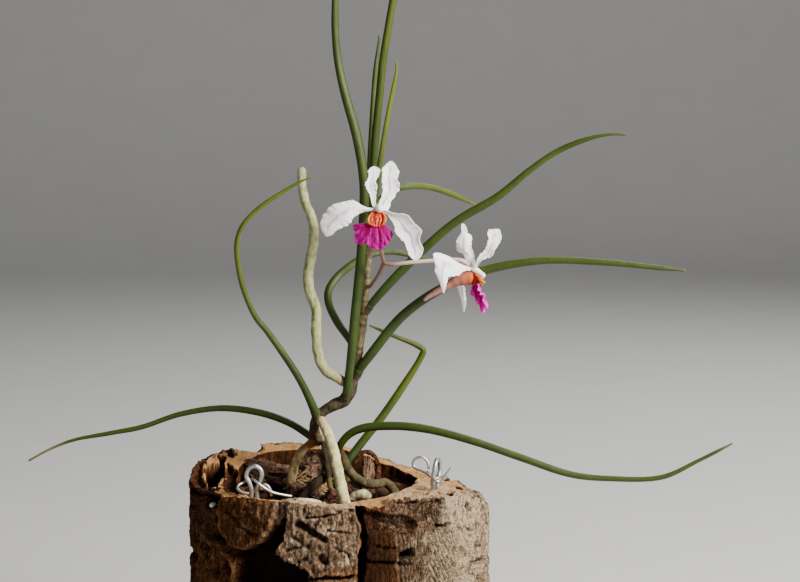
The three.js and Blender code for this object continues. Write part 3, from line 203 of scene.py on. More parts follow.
# Leaves: route, radius along it, side of the groove, where the dry tip starts and how yellow the green is
UP_RIGHT = math.pi / 2
UP_LEFT = -math.pi / 2
TO_THE_RIGHT = 0.6 * math.pi
LEAVES = {
    "leaf_low_left": (
        [(-9, -0.5, 136.5), (-14.3, 3, 139.7), (-23.4, 6, 144.8), (-37.6, 9, 149.4), (-58.1, 14, 151.1),
         (-79.8, 19, 147.2), (-100.2, 23, 139.8), (-116.4, 26, 136.2), (-135.8, 29, 132), (-148, 31, 127),
         (-159.7, 33, 120.4)],
        [(0, 2.1), (0.1, 1.9), (0.6, 1.35), (1, 0.6)], UP_LEFT, 0.86, 0.3),
    "leaf_tall_left": (
        [(-9.3, -2.5, 148.5), (-11.2, -5, 154.7), (-18.6, -8, 170.7), (-33.1, -12, 193.1),
         (-38.8, -14, 200.8), (-44.4, -16, 214.3), (-47.1, -18, 228.2), (-47.3, -20, 237.7), (-44.7, -22, 245.6),
         (-37.3, -23, 254), (-27.6, -24, 260.8), (-16.4, -25, 267.6), (-10.1, -26, 270.3)],
        [(0, 2.3), (0.15, 1.9), (0.5, 1.4), (0.85, 1.1), (1, 0.5)], UP_LEFT, 0.955, 0.8),
    "leaf_front": (
        [(3.4, -1.5, 157), (5, -6, 162), (6.8, -8.5, 173.7), (9.6, -10, 201.3), (12.6, -9, 230.8),
         (14.1, -8, 255.3), (14.1, -7, 265.1), (12.7, -6, 277.2), (9.7, -5, 291.9), (4.9, -4, 308.9),
         (1.4, -2, 324.9), (0, -1, 340.5), (0, 0, 355), (0.5, 1, 369.6), (1.5, 3, 383.2)],
        [(0, 2), (0.2, 2.4), (0.6, 2.4), (0.8, 1.9), (0.93, 1.5), (1, 0.7)], TO_THE_RIGHT, 0.985, 0.1),
    "leaf_mid_right": (
        [(9.6, 1, 169), (11.5, -1, 173), (18.3, -3, 182.5), (32.7, -4, 200.1), (51.5, -4, 213.5),
         (73.7, -3, 222.8), (100.7, -5, 227.7), (130, -8, 227.3), (154.3, -10, 225.2), (171.9, -11, 223.4)],
        [(0, 2.2), (0.1, 2.5), (0.4, 2.4), (0.7, 1.8), (0.93, 1.4), (1, 0.6)], UP_RIGHT, 0.985, 0.2),
    "leaf_upper_right": (
        [(13.7, 2, 200.5), (19.8, 2, 208.3), (36.7, 5, 226), (59.1, 6, 245.9), (80.3, 4, 258.9),
         (95.8, 1, 272), (109.3, -2, 281.5), (124.7, -6, 288), (135.2, -8, 290), (142.9, -9, 289.6)],
        [(0, 2), (0.15, 2.4), (0.45, 2.2), (0.8, 1.5), (1, 0.6)], UP_RIGHT, 0.985, 0.25),
    "leaf_centre": (
        [(17.5, 4, 247), (17.9, 4, 261.9), (19.4, 4, 286.6), (21.4, 4, 306.3), (23.4, 4, 325.9),
         (26.4, 4, 344.4), (28.8, 4, 357.6), (31.3, 3, 369.6), (34.7, 2, 383.1)],
        [(0, 1.8), (0.3, 2), (0.8, 1.9), (0.93, 1.4), (1, 0.6)], TO_THE_RIGHT, 0.985, 0.4),
    "leaf_back_left": (
        [(11, 2, 181), (7.3, 6, 186.3), (0.1, 14, 195.3), (-4.1, 20, 203.8), (-4.2, 24, 209.4),
         (-0.3, 29, 215.5), (7.3, 33, 221.7), (15.4, 36, 226.1), (26.6, 41, 227.7), (39, 45, 225.2),
         (51.4, 50, 221.6)],
        [(0, 2), (0.5, 2.1), (0.85, 1.5), (1, 0.7)], UP_LEFT, 0.98, 0.2),
    "leaf_back_upper": (
        [(17, 3.5, 240), (18.4, 7, 249), (21.3, 12, 255.5), (27.7, 18, 261), (36.8, 25, 262.6),
         (47, 33, 261.5), (55.7, 39, 258.6), (71, 50, 251.2)],
        [(0, 1.6), (0.2, 1.9), (0.8, 1.6), (1, 0.6)], UP_RIGHT, 0.97, 0.7),
    "leaf_right_bent": (
        [(3, 10.5, 106), (4.5, 12, 121.8), (10.5, 16, 130.3), (21.6, 20, 143.9), (33.3, 24, 160.3),
         (42.4, 26, 174.9), (43.8, 26, 179), (40.9, 26, 181.3), (29.2, 24, 186.4), (16.1, 22, 192.3)],
        [(0, 2.3), (0.5, 2.1), (0.72, 1.7), (0.9, 1.1), (1, 0.6)], UP_LEFT, 0.96, 0.55),
    "leaf_low_right": (
        [(0.5, 3.5, 128), (1.5, -2, 134.5), (5.9, -4, 140.5), (12.9, -6, 144.3), (26.8, -8, 145.9),
         (44.1, -10, 144.8), (66.3, -13, 139.6), (90.9, -15, 131.4), (116.4, -17, 123.1), (135, -18, 121.3),
         (160.4, -20, 122.4), (178, -20, 130.5), (195, -20, 139.3)],
        [(0, 1.9), (0.15, 2.2), (0.5, 1.9), (0.8, 1.3), (0.95, 0.9), (1, 0.5)], UP_RIGHT, 0.97, 0.15),
    "leaf_young": (
        [(18.2, 1, 246), (18.8, -2.2, 252), (20, -3, 262.3), (22.4, -5, 279.6), (25.9, -6, 300.2),
         (28.8, -6, 314.3), (30, -6, 321.1), (29.6, -6, 325.9)],
        [(0, 1.3), (0.2, 1.5), (0.8, 1.1), (1, 0.6)], UP_RIGHT, 0.98, 1),
    "leaf_rear": (
        [(16.6, 6, 240), (16.6, 10.5, 250), (16.8, 14, 266.2), (17.8, 18, 291), (19.2, 22, 315.8),
         (21.7, 26, 338.7)],
        [(0, 1.5), (0.3, 1.7), (0.8, 1.3), (1, 0.6)], UP_LEFT, 0.98, 0.25),
}

# Roots: route, radius along it, then the skin's light and shaded colours and its colour next to the stem
ROOTS = {
    "root_aerial": (
        [(6.5, -0.5, 165), (0.6, -7, 169.6), (-5.2, -9, 173.8), (-8.6, -10, 181.9), (-9.5, -11, 194),
         (-9.5, -11, 203.9), (-12.9, -11, 214.7), (-12.8, -11, 224.6), (-10.8, -11, 235.9), (-10.8, -11, 247.2),
         (-14.6, -11, 257), (-16.1, -11, 265.3), (-16, -11, 274.1)],
        [(0, 2.4), (0.5, 2.55), (1, 2.1)], (0.34, 0.35, 0.17), (0.13, 0.145, 0.045), (0.24, 0.215, 0.1)),
    "root_front": (
        [(-8, -2.5, 148.4), (-6, -8, 146.3), (-3.8, -13, 142.4), (-1, -22, 136.2), (1.7, -33, 127.8),
         (3.9, -44, 120.5), (6.3, -50.5, 112), (7, -52, 104)],
        [(0, 2.3), (0.3, 2.6), (1, 2.7)], (0.6, 0.52, 0.28), (0.27, 0.27, 0.09), (0.42, 0.34, 0.15)),
    "root_right": (
        [(1, 4, 133), (2.8, 0, 129.5), (4.8, -2, 124.5), (8.8, -4, 119.5), (14.8, -5, 116.2),
         (20.3, -3, 115.5), (24.2, 0, 115.4), (28.3, -2, 112.5), (31, -4, 107), (32, -5, 101)],
        [(0, 1.9), (0.3, 2.3), (1, 2.4)], (0.085, 0.07, 0.03), (0.02, 0.016, 0.005), (0.05, 0.025, 0.01)),
    "root_left": (
        [(-9, 0, 137.5), (-13.5, 0.5, 134.8), (-17.5, 0, 131.5), (-20.3, -2, 126.5), (-22.1, -4, 119.5),
         (-22.4, -6, 112), (-22.4, -7, 104)],
        [(0, 2.1), (0.5, 2.3), (1, 2.2)], (0.33, 0.24, 0.11), (0.08, 0.05, 0.018), (0.22, 0.055, 0.012)),
    "root_lower": (
        [(0.5, 5.5, 123), (-2.8, 0, 121.8), (-6.5, -8, 119.8), (-10.6, -16, 117.5), (-15, -24, 114.5),
         (-17, -29, 109), (-17.4, -31, 102)],
        [(0, 2), (0.4, 2.3), (1, 2.3)], (0.024, 0.013, 0.004), (0.006, 0.003, 0.001), (0.008, 0.004, 0.002)),
    "root_rim": (
        [(-30, -42, 106), (-27, -47, 111), (-23.7, -51.5, 115.4), (-17.7, -55.5, 117.2), (-11.9, -57.5, 117.2),
         (-7.2, -57, 116.2), (-3.5, -54.5, 113), (-2, -51, 107)],
        [(0, 1.7), (0.3, 1.9), (0.6, 2.2), (1, 1.9)], (0.66, 0.6, 0.42), (0.3, 0.28, 0.13), (0.08, 0.06, 0.018)),
    "root_stub": (
        [(5, -12, 106), (8, -13, 110), (11.2, -14.4, 112.2), (14.6, -15.6, 112.6), (17.6, -16.6, 111.6)],
        [(0, 1.9), (0.4, 2.4), (0.75, 2.5), (1, 1.7)], (0.54, 0.5, 0.3), (0.26, 0.24, 0.1), (0.1, 0.07, 0.02)),
    "root_strand": (
        [(-7.2, -0.5, 137.4), (-6.2, -5.2, 134), (-4.6, -9.5, 128), (-3.4, -13, 121), (-2, -17.5, 114),
         (-1.5, -20, 107)],
        [(0, 1.1), (0.5, 1.5), (1, 1.3)], (0.03, 0.022, 0.008), (0.008, 0.005, 0.002), (0.012, 0.006, 0.003)),
}
SIDE_SHOOT = [(-9, 0, 138.5), (-7.8, -3.4, 138.8), (-6.8, -5.8, 139.6), (-6.4, -6.8, 141)]
SIDE_SHOOT_RADIUS = [(0, 1.7), (0.6, 1.9), (1, 1.3)]

# Flower stalk: a short peduncle and two pedicels
PEDUNCLE = [(15, 1.5, 214.4), (16.6, -2, 214.3), (18.4, -5, 216.6), (21.4, -9, 221.4), (23.9, -14, 227.6)]
PEDICEL_FRONT = [
    (23.9, -14, 227.2), (23, -19, 231.8), (22.2, -22, 236.5), (21.7, -21.5, 244.2), (21.3, -20, 250),
    (21.4, -21, 253),
]
PEDICEL_SIDE = [
    (23.6, -14, 227.3), (27.4, -15, 226.8), (36.6, -17, 227.9), (46.3, -18, 228.8), (56.1, -19, 229.4),
    (61.9, -20, 228.8), (66, -20.4, 226.6),
]

# Outline of a lip's magenta blade: degrees from straight down, and reach
LIP_OUTLINE = [
    (-94, 4.2), (-91, 8), (-87, 10.8), (-79, 11), (-68, 10.3), (-58, 11.9), (-48, 13.1), (-42, 12.9),
    (-36, 12.3), (-28, 10.5), (-20, 10.7), (-4, 11.9), (8, 12.7), (18, 12.4), (26, 11.2), (36, 11.2),
    (46, 10.3), (56, 10.1), (64, 9.2), (70, 7.4), (78, 5.2), (88, 4.6),
]
LIP_NECK = 0.6

FLOWERS = {
    "front": {
        "column": ([(21.5, -22.2, 254.4), (22, -26, 255.2), (22.2, -30.2, 254.4)], [(0, 2), (0.5, 2), (0.85, 1.8), (1, 1.4)]),
        "spur": (
            [(20.4, -27.4, 249.4), (19.6, -26, 245.5), (18.7, -22.8, 241.3), (17.7, -20.2, 235.3),
             (17.2, -19, 229.8)],
            [(0, 1.9), (0.3, 1.6), (0.6, 1.15), (0.9, 1), (1, 0.8)]),
        "lobes": {"top": (21, -27.2, 253.4), "bottom": (20.4, -29.9, 246.2), "right": (1, 0, 0),
                  "front": (0, -1, 0.1), "half_width": 4.5, "rise": 2},
        "lip": {"neck": (19.9, -29.3, 247.7), "right": (1, 0, 0), "down": (0, -0.12, -0.99),
                "front": (0, -0.99, 0.12), "spread": 1, "base": 3.4, "frill": 1.1,
                "edge": (0.32, 0.0, 0.18)},
        "tepals": {
            "sepal_lateral_left": (
                [(20.6, -25.5, 255), (15.6, -26.5, 255.4), (9.4, -28, 258.5), (2.5, -28, 257.6), (-2.1, -27, 255.6),
                 (-4.4, -26, 252.8), (-6.4, -25.5, 249.4), (-6.6, -25, 245.6), (-4.4, -24, 241.6)],
                [(20.6, -25.5, 253.6), (15.6, -26.5, 253.6), (10.1, -28, 251.6), (6.6, -28.5, 247.4),
                 (1.3, -27, 244.6), (-1.2, -25.2, 241.9), (-3.6, -24.2, 241.2)], 1.3, 0.35, 0),
            "sepal_lateral_right": (
                [(23.6, -25.5, 254.4), (25.4, -26.5, 253.9), (30, -29, 252.8), (35.5, -30.5, 252.1),
                 (39, -31, 247.6), (42.2, -32, 244.9), (41.2, -32, 240), (42.9, -32, 235.9), (41.2, -31.5, 231.4),
                 (39.6, -31.5, 230.4)],
                [(23.4, -25.5, 252.6), (25.6, -26.5, 252.2), (29, -28.5, 247.6), (30, -29.5, 243.5),
                 (34.2, -31, 238.7), (36.2, -32, 232.9), (38.4, -31.5, 230.5)], 1.3, 0.25, 1),
            "petal_left": (
                [(20, -25, 254.4), (18.5, -25, 256.2), (17.4, -25, 260.9), (15.2, -24.5, 266.5),
                 (16.6, -24, 269.9), (16.9, -23, 273.6), (19, -22, 275)],
                [(21.2, -25, 254.4), (20.2, -25, 256.4), (20, -25, 260.3), (20.4, -24.5, 265.1),
                 (19.9, -24, 267.8), (21.4, -23.5, 270.6), (21.8, -22.5, 273.5), (19.9, -22, 274.9)], 0.6, 0.4, 2),
            "sepal_dorsal": (
                [(21.1, -24.4, 254), (21.4, -24.5, 256.8), (23.5, -24.5, 263), (23.1, -23.5, 270.6),
                 (24.2, -22, 274.7), (26.8, -20.5, 277.4)],
                [(23.8, -24.4, 254), (23.7, -24.5, 256.8), (25, -24.5, 259.1), (27.2, -24.3, 260.8), (30, -24, 262.3),
                 (31.1, -23.5, 266.1), (30, -23, 268.9), (30.9, -22.5, 271.6), (29.7, -21.5, 275.4),
                 (27.9, -20.5, 277.5)], 0.8, 0.5, 0.6),
            "petal_right": (
                [(23.4, -24, 254), (24, -21, 256.6), (26.4, -18, 260.4), (28.4, -16, 261.4), (29.2, -15, 261)],
                [(24.6, -24, 252.8), (25.5, -21, 253.3), (26.4, -19, 255.4), (27.2, -18, 257.8),
                 (29.2, -16, 260), (29.4, -15, 260.6)], 0.4, 0.3, 3),
        },
    },
    "side": {
        "column": ([(66.2, -20.4, 226.4), (69.4, -21.2, 224), (71.8, -22.2, 222.2), (72.8, -22.6, 221.2)],
                   [(0, 1.6), (0.4, 1.45), (0.8, 1.3), (1, 1.05)]),
        "spur": (
            [(68.2, -20.8, 219.9), (66.6, -20.6, 220.4), (64.5, -20.5, 220.5), (61.5, -20.5, 219.9),
             (58.3, -20.4, 218.7), (52, -20.1, 215.2), (46, -20, 211.7), (43.1, -20, 209.5)],
            [(0, 2.4), (0.08, 3.2), (0.2, 3.25), (0.32, 2.7), (0.46, 2), (0.65, 1.6), (0.87, 1.15), (1, 0.8)]),
        "lobes": {"top": (66.7, -20.6, 223.2), "bottom": (66.5, -20.9, 217.3), "right": (0.06, 1, 0),
                  "front": (0.96, -0.2, -0.16), "half_width": 3.9, "rise": 6.2},
        "lip": {"neck": (68.2, -21, 217.9), "right": (-0.3, 0.94, 0), "down": (0.53, -0.12, -1.06),
                "front": (0.84, 0.1, 0.45), "spread": 0.85, "base": 1.6, "frill": 2.2,
                # This edge colour is far brighter than the front lip's: painted light on a lip that faces away from
                # the lamp.
                "edge": (0.95, 0.01, 0.66)},
        "tepals": {
            "sepal_lateral_near": (
                [(66.2, -21.5, 225.8), (60.4, -25, 228.3), (55.5, -28.5, 232), (50.6, -30.5, 233.9),
                 (48.1, -31.5, 233.4), (48.8, -32, 229), (49, -32, 224.1), (50.6, -31.5, 220.2), (52.6, -30.5, 214.4)],
                [(66, -21.5, 224.4), (62.9, -24, 224.5), (60.4, -27, 223), (57.4, -29.5, 222.7),
                 (55.3, -31, 222.5), (54.5, -31.5, 220.7), (53.9, -31.5, 218), (53, -30.5, 214.5)], 0.8, 0.3, 0),
            "petal_near": (
                [(67.8, -22.6, 226), (70, -24, 231.9), (72.9, -24.5, 234.8), (73.9, -25, 237.6), (74.7, -25, 240.4),
                 (73.9, -25, 242.7), (75, -24.5, 244.3), (79.2, -24, 244.9)],
                [(69, -22.6, 226), (70.9, -24, 229.3), (73.3, -24.5, 230.7), (76, -25, 231.6), (77.2, -25, 234.6),
                 (78.9, -25, 236.8), (80.5, -24.5, 240.2), (80.1, -24, 244.3)], 0.5, 0.4, 2),
            "sepal_dorsal": (
                [(65.9, -20, 225.6), (63.9, -20, 229.3), (62.5, -20, 232.1), (60.1, -20.5, 233.2), (59.2, -21, 236.5),
                 (59.1, -21, 238.6), (60, -20.5, 240.8), (61.1, -20, 242.3), (62, -19.5, 243.3)],
                [(68.9, -20, 225.9), (68, -20, 229.3), (67.8, -20, 232.2), (66.5, -20.5, 234.5), (66.2, -21, 237.2),
                 (66.5, -21, 239.4), (66.1, -20.5, 241.6), (63.6, -19.5, 243)], -1.6, 0.5, 1),
            "petal_far": (
                [(66.4, -17.4, 226.6), (65.4, -15, 232.7), (63.2, -12, 239.4), (61.6, -11, 244.6), (61.9, -11, 246.5)],
                [(68, -17.4, 226.6), (67.2, -15, 232.7), (64.8, -12, 239.4), (64.4, -11, 243.6), (63.4, -11, 246.1)],
                0.3, 0.2, 4),
            "sepal_lateral_far": (
                [(65.6, -19, 224.6), (60.7, -16, 222.4), (58.8, -15, 221.1), (59.2, -14, 218.8), (60, -13, 215.5),
                 (61, -12, 211.4), (62.1, -12, 207.7), (62.8, -12, 203)],
                [(65.8, -19, 223.4), (63.1, -16, 221.5), (62.1, -15, 219.9), (62.3, -14, 217.8), (63.1, -13, 215.5),
                 (63.8, -12, 211.7), (64.1, -12, 207.7), (63.3, -12, 202.9)], 0.4, 0.2, 2),
        },
    },
}
PETAL_THICKNESS = 0.45

# Galvanised wires
EYE_WIRE = 1.05
TIE_WIRE = 0.65
WIRES = {
    "wire_eye_left": (EYE_WIRE, [
        [(-39.2, -52, 106), (-39.2, -52, 117.5), (-39, -52, 122.4), (-39.9, -52, 125.8), (-41.4, -52, 129.1),
         (-40.3, -51.8, 132.4), (-37.4, -51.6, 133.8), (-34.7, -51.4, 132.2), (-34, -51.2, 129.2),
         (-35, -51, 126.2), (-36.3, -50.8, 122.8), (-36.3, -50.8, 116.7), (-36.3, -50.8, 108)]]),
    "wire_tie_left": (TIE_WIRE, [
        [(-20, -48.5, 118.6), (-24.1, -50, 119.6), (-29.3, -52, 121.4), (-33.7, -53.2, 124.3), (-36.5, -53, 126.4),
         (-38.3, -50.4, 127), (-40.4, -49.4, 126.6), (-42.6, -50.2, 125.8), (-45, -52, 124.8), (-45.6, -53.6, 123.6),
         (-44.2, -54.6, 122.4), (-42.2, -54.8, 121.5), (-40.2, -54.6, 121.2)],
        [(-34.3, -52.8, 122.6), (-33.8, -52.6, 124.6), (-32.6, -52.4, 125.1), (-31, -52.4, 124.1),
         (-29.9, -52.2, 122.3), (-29.6, -51, 119.4)]]),
    "wire_eye_right": (EYE_WIRE, [
        [(47.6, -34, 108), (47.6, -34, 122), (48.1, -34, 127), (49, -32.6, 131.5), (50, -30.4, 133.2),
         (50.9, -28.4, 131.6), (51.2, -27.6, 127.6), (50.4, -29, 123.6), (49.9, -30.4, 119), (49.9, -30.4, 109)]]),
    "wire_tie_right": (TIE_WIRE, [
        [(52, -33.5, 125.4), (49.5, -36.2, 125), (46.8, -35.8, 125.6), (44.4, -33, 126.9), (42.2, -31.5, 127.8),
         (40, -30.6, 128.4), (38.3, -30, 129.8), (38.1, -30, 131.8), (39.5, -30, 133.5), (42, -30, 134.2),
         (44, -30, 133.4), (45.4, -30.2, 131.3), (45.7, -31, 128.4)],
        [(47.8, -36.3, 125.3), (49.2, -37, 123.9), (50.6, -37, 123.2), (52.1, -36.6, 124.1), (54.5, -35.6, 127.3),
         (56.7, -34.6, 129.8)]]),
}

# Bark chunks on the mix: size, turn, middle, and how light the bark is
CHUNKS = {
    "chunk_rear_left": ((30, 15, 13), (0.1, 0.15, 0.25), (-34, 27, 114), 0.3, (1.6, 1.6, 2.2)),
    "chunk_centre": ((14, 9, 15), (0.2, -0.3, 0.4), (-12.5, 8, 121), 0.4, (1.4, 1.4, 2)),
    "chunk_standing": ((5.6, 5, 17), (-0.15, 0.12, 0.2), (14.9, 29, 113.5), 0.55, (2.4, 2.4, 0.6)),
    "chunk_front": ((8.5, 6, 9.5), (0.3, 0.5, 0.2), (-1, -30, 112.5), 0.05, (1, 1, 2)),
    "chunk_red": ((6.5, 5, 6), (0.4, 0.2, 0.6), (-20, -12, 115), 0.3, (1, 2, 1)),
    "chunk_tan": ((4.6, 4, 8.5), (0.2, -0.2, 0.3), (-7.5, -26, 112.5), 1, (1, 1, 1)),
    "chunk_right": ((10, 6.5, 5.5), (0.1, -0.2, 0.5), (34, -11, 109), 0.15, (1, 1, 2)),
}
BEAD_PLACE = (-58.2, -41.4, 112.95)
BEAD_HALF_SIZE = (2, 1.6, 1.3)
BEAD_TURN = 0.7


class Value:
    """A number in a material, so that shader maths reads as plain expressions."""

    def __init__(self, finish, socket):
        self.finish = finish
        self.socket = socket

    def maths(self, operation, *values):
        made = self.finish.node("ShaderNodeMath", {"operation": operation}, dict(enumerate(values)))
        return Value(self.finish, made.outputs[0])

    def __add__(self, other):
        return self.maths("ADD", self, other)

    def __sub__(self, other):
        return self.maths("SUBTRACT", self, other)

    def __rsub__(self, other):
        return self.maths("SUBTRACT", other, self)

    def __mul__(self, other):
        return self.maths("MULTIPLY", self, other)

    def __pow__(self, other):
        return self.maths("POWER", self, other)

    __radd__ = __add__
    __rmul__ = __mul__

    def size(self):
        return self.maths("ABSOLUTE", self)

    def sine(self):
        return self.maths("SINE", self)

    def rise(self, low, high):
        """0 below low and 1 above high, smooth between."""
        inputs = {"Value": self, "From Min": low, "From Max": high}
        made = self.finish.node("ShaderNodeMapRange", {"interpolation_type": "SMOOTHSTEP"}, inputs)
        return Value(self.finish, made.outputs["Result"])


class Finish:
    """A node material. Pattern sizes are in millimetres."""

    def __init__(self, name):
        self.material = bpy.data.materials.new(name)
        self.material.use_nodes = True
        self.tree = self.material.node_tree
        self.shader = self.tree.nodes["Principled BSDF"]
        self.place = self.node("ShaderNodeTexCoord").outputs["Object"]

    def node(self, kind, settings=None, inputs=None):
        made = self.tree.nodes.new(kind)
        for name, value in (settings or {}).items():
            setattr(made, name, value)
        for name, value in (inputs or {}).items():
            self.feed(made.inputs[name], value)
        return made

    def feed(self, socket, value):
        if isinstance(value, Value):
            value = value.socket
        if isinstance(value, bpy.types.NodeSocket):
            self.tree.links.new(value, socket)
        elif socket.type == "RGBA":
            socket.default_value = (*value, 1)
        else:
            socket.default_value = value

    def stretched(self, stretch):
        made = self.node("ShaderNodeVectorMath", {"operation": "MULTIPLY"}, {0: self.place, 1: stretch})
        return made.outputs[0]

    def noise(self, size, detail=3, stretch=(1, 1, 1), distortion=0):
        inputs = {"Vector": self.stretched(stretch), "Scale": 1 / (size * MM), "Detail": detail,
                  "Roughness": 0.6, "Distortion": distortion}
        return Value(self, self.node("ShaderNodeTexNoise", None, inputs).outputs["Fac"])

    def cells(self, size, stretch=(1, 1, 1)):
        inputs = {"Vector": self.stretched(stretch), "Scale": 1 / (size * MM)}
        return Value(self, self.node("ShaderNodeTexVoronoi", None, inputs).outputs["Distance"])

    def cracks(self, size, stretch=(1, 1, 1)):
        """Distance from a net of wandering cracks."""
        inputs = {"Vector": self.place, "Scale": 1 / (size * MM)}
        wander = self.node("ShaderNodeTexNoise", None, inputs).outputs["Color"]
        inputs = {0: wander, 1: (0.6 * size * MM,) * 3, 2: self.stretched(stretch)}
        place = self.node("ShaderNodeVectorMath", {"operation": "MULTIPLY_ADD"}, inputs).outputs[0]
        inputs = {"Vector": place, "Scale": 1 / (size * MM)}
        made = self.node("ShaderNodeTexVoronoi", {"feature": "DISTANCE_TO_EDGE"}, inputs)
        return Value(self, made.outputs["Distance"])

    def attribute(self, name):
        return Value(self, self.node("ShaderNodeAttribute", {"attribute_name": name}).outputs["Fac"])

    def around_and_along(self):
        """The piece's own map: share of the way round or across it, and along it."""
        place = self.node("ShaderNodeUVMap", {"uv_map": "UVMap"}).outputs[0]
        parts = self.node("ShaderNodeSeparateXYZ", None, {0: place})
        return Value(self, parts.outputs["X"]), Value(self, parts.outputs["Y"])

    def mix(self, first, second, share):
        settings = {"data_type": "RGBA", "clamp_factor": True}
        made = self.node("ShaderNodeMix", settings, {0: share, 6: first, 7: second})
        return made.outputs[2]

    def bump(self, height, strength=1):
        """Height is in millimetres."""
        inputs = {"Height": height, "Distance": MM, "Strength": strength}
        self.feed(self.shader.inputs["Normal"], self.node("ShaderNodeBump", None, inputs).outputs[0])

    def set(self, **values):
        """Sets the shader's sockets, such as base_color for Base Color."""
        for name, value in values.items():
            self.feed(self.shader.inputs[name.replace("_", " ").title().replace("Ior", "IOR")], value)
        return self


def between(pairs, place):
    """Reads a short list of (place, value) pairs, smooth between its entries."""
    after = bisect.bisect_left(pairs, (place, -math.inf))
    if after == 0:
        return pairs[0][1]
    if after == len(pairs):
        return pairs[-1][1]
    (start, low), (end, high) = pairs[after - 1], pairs[after]
    return low + (high - low) * smooth((place - start) / (end - start))


def smooth(share):
    share = min(1, max(0, share))
    return share * share * (3 - 2 * share)


def window(value, low, high, edge):
    return smooth((value - low) / edge + 1) * (1 - smooth((value - high) / edge))


def speckle(x, y, z):
    """A steady value from -1 to 1 that looks random."""
    wave = math.sin(x * 12.9898 + y * 78.233 + z * 37.719) * 43758.5453
    return 2 * (wave - math.floor(wave)) - 1


class Route:
    """A smooth line through a few points, read by the share of its length."""

    STEPS = 16

    def __init__(self, points):
        knots = [Vector(p) for p in points]
        knots = [2 * knots[0] - knots[1], *knots, 2 * knots[-1] - knots[-2]]
        self.points = []
        for before, start, end, after in zip(knots, knots[1:], knots[2:], knots[3:]):
            first, middle, last = ((b - a).length ** 0.5 for a, b in ((before, start), (start, end), (end, after)))
            leave = (start - before) / first - (end - before) / (first + middle) + (end - start) / middle
            arrive = (end - start) / middle - (after - start) / (middle + last) + (after - end) / last
            handles = (start + leave * middle / 3, end - arrive * middle / 3)
            self.points += geometry.interpolate_bezier(start, *handles, end, self.STEPS)[:-1]
        self.points.append(knots[-2])
        self.reach = [0]
        for a, b in zip(self.points, self.points[1:]):
            self.reach.append(self.reach[-1] + (b - a).length)
        self.length = self.reach[-1]

    def at(self, share):
        """The point there and the line's direction."""
        place = share * self.length
        after = min(max(bisect.bisect_right(self.reach, place), 1), len(self.points) - 1)
        start, end = self.points[after - 1], self.points[after]
        part = (place - self.reach[after - 1]) / (self.reach[after] - self.reach[after - 1])
        here = (end - start).normalized()
        ahead = self.points[min(after + 1, len(self.points) - 1)] - start
        behind = end - self.points[max(after - 2, 0)]
        direction = (behind.lerp(ahead, part) + here * 1e-6).normalized()
        return start.lerp(end, part), direction


def grid(columns, rows):
    """A flat grid that is 1 by 1, whose map gives the share across and along it."""
    bm = bmesh.new()
    bmesh.ops.create_grid(bm, x_segments=columns, y_segments=rows, size=0.5)
    bmesh.ops.translate(bm, verts=bm.verts, vec=(0.5, 0.5, 0))
    layer = bm.loops.layers.uv.new("UVMap")
    for face in bm.faces:
        for loop in face.loops:
            loop[layer].uv = loop.vert.co.xy
    return bm


def capped(share, steps, start, end):
    """The place along a route and the fullness of the section there, with both ends rounded off."""
    cap = CAP_ROWS / steps
    if share < cap:
        turn = math.pi / 2 * share / cap
        return start * (1 - math.cos(turn)), math.sin(turn)
    if share > 1 - cap:
        turn = math.pi / 2 * (1 - share) / cap
        return 1 - end * (1 - math.cos(turn)), math.sin(turn)
    return start + (share - cap) / (1 - 2 * cap) * (1 - start - end), 1


def tube(points, radius, sides, steps, across=(0, 1, 0), relief=None, bluntness=1):
    """A grid rolled round a route. relief(around, along, place) raises its surface."""
    route = Route(points)
    ends = [bluntness * between(radius, share) / route.length for share in (0, 1)]
    bm = grid(sides, steps)
    for vert in bm.verts:
        around = 2 * math.pi * vert.co.x
        along, fullness = capped(vert.co.y, steps, *ends)
        middle, direction = route.at(along)
        depth = Vector(across) - direction * Vector(across).dot(direction)
        depth.normalize()
        side = direction.cross(depth)
        outward = depth * math.cos(around) + side * math.sin(around)
        reach = between(radius, along)
        if relief:
            reach += relief(around, along, middle + outward * reach)
        vert.co = middle + outward * reach * fullness
    return bm


def joined(parts):
    """One bmesh out of several."""
    whole = bmesh.new()
    for part in parts:
        mesh = bpy.data.meshes.new("part")
        part.to_mesh(mesh)
        part.free()
        whole.from_mesh(mesh)
        bpy.data.meshes.remove(mesh)
    return whole


def settle(name, bm, finish, node=None, thickness=0, subdivide=0, flat=False):
    """Closes a shape, scales it to metres and hands it to the frame as a piece."""
    bmesh.ops.remove_doubles(bm, verts=bm.verts, dist=MERGE)
    bmesh.ops.recalc_face_normals(bm, faces=bm.faces)
    bmesh.ops.scale(bm, vec=(MM, MM, MM), verts=bm.verts)
    mesh = bpy.data.meshes.new(name)
    bm.to_mesh(mesh)
    bm.free()
    if not flat:
        mesh.shade_smooth()
    mesh.materials.append(finish.material)
    piece = bpy.data.objects.new(name, mesh)
    bpy.context.scene.collection.objects.link(piece)
    if thickness:
        wall = piece.modifiers.new("Wall", "SOLIDIFY")
        wall.thickness = thickness * MM
        wall.offset = 0
    if subdivide:
        round_off = piece.modifiers.new("Round", "SUBSURF")
        round_off.levels = round_off.render_levels = subdivide
    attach(piece, "root")
    if node:
        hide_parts(node)
    return piece


# Finishes

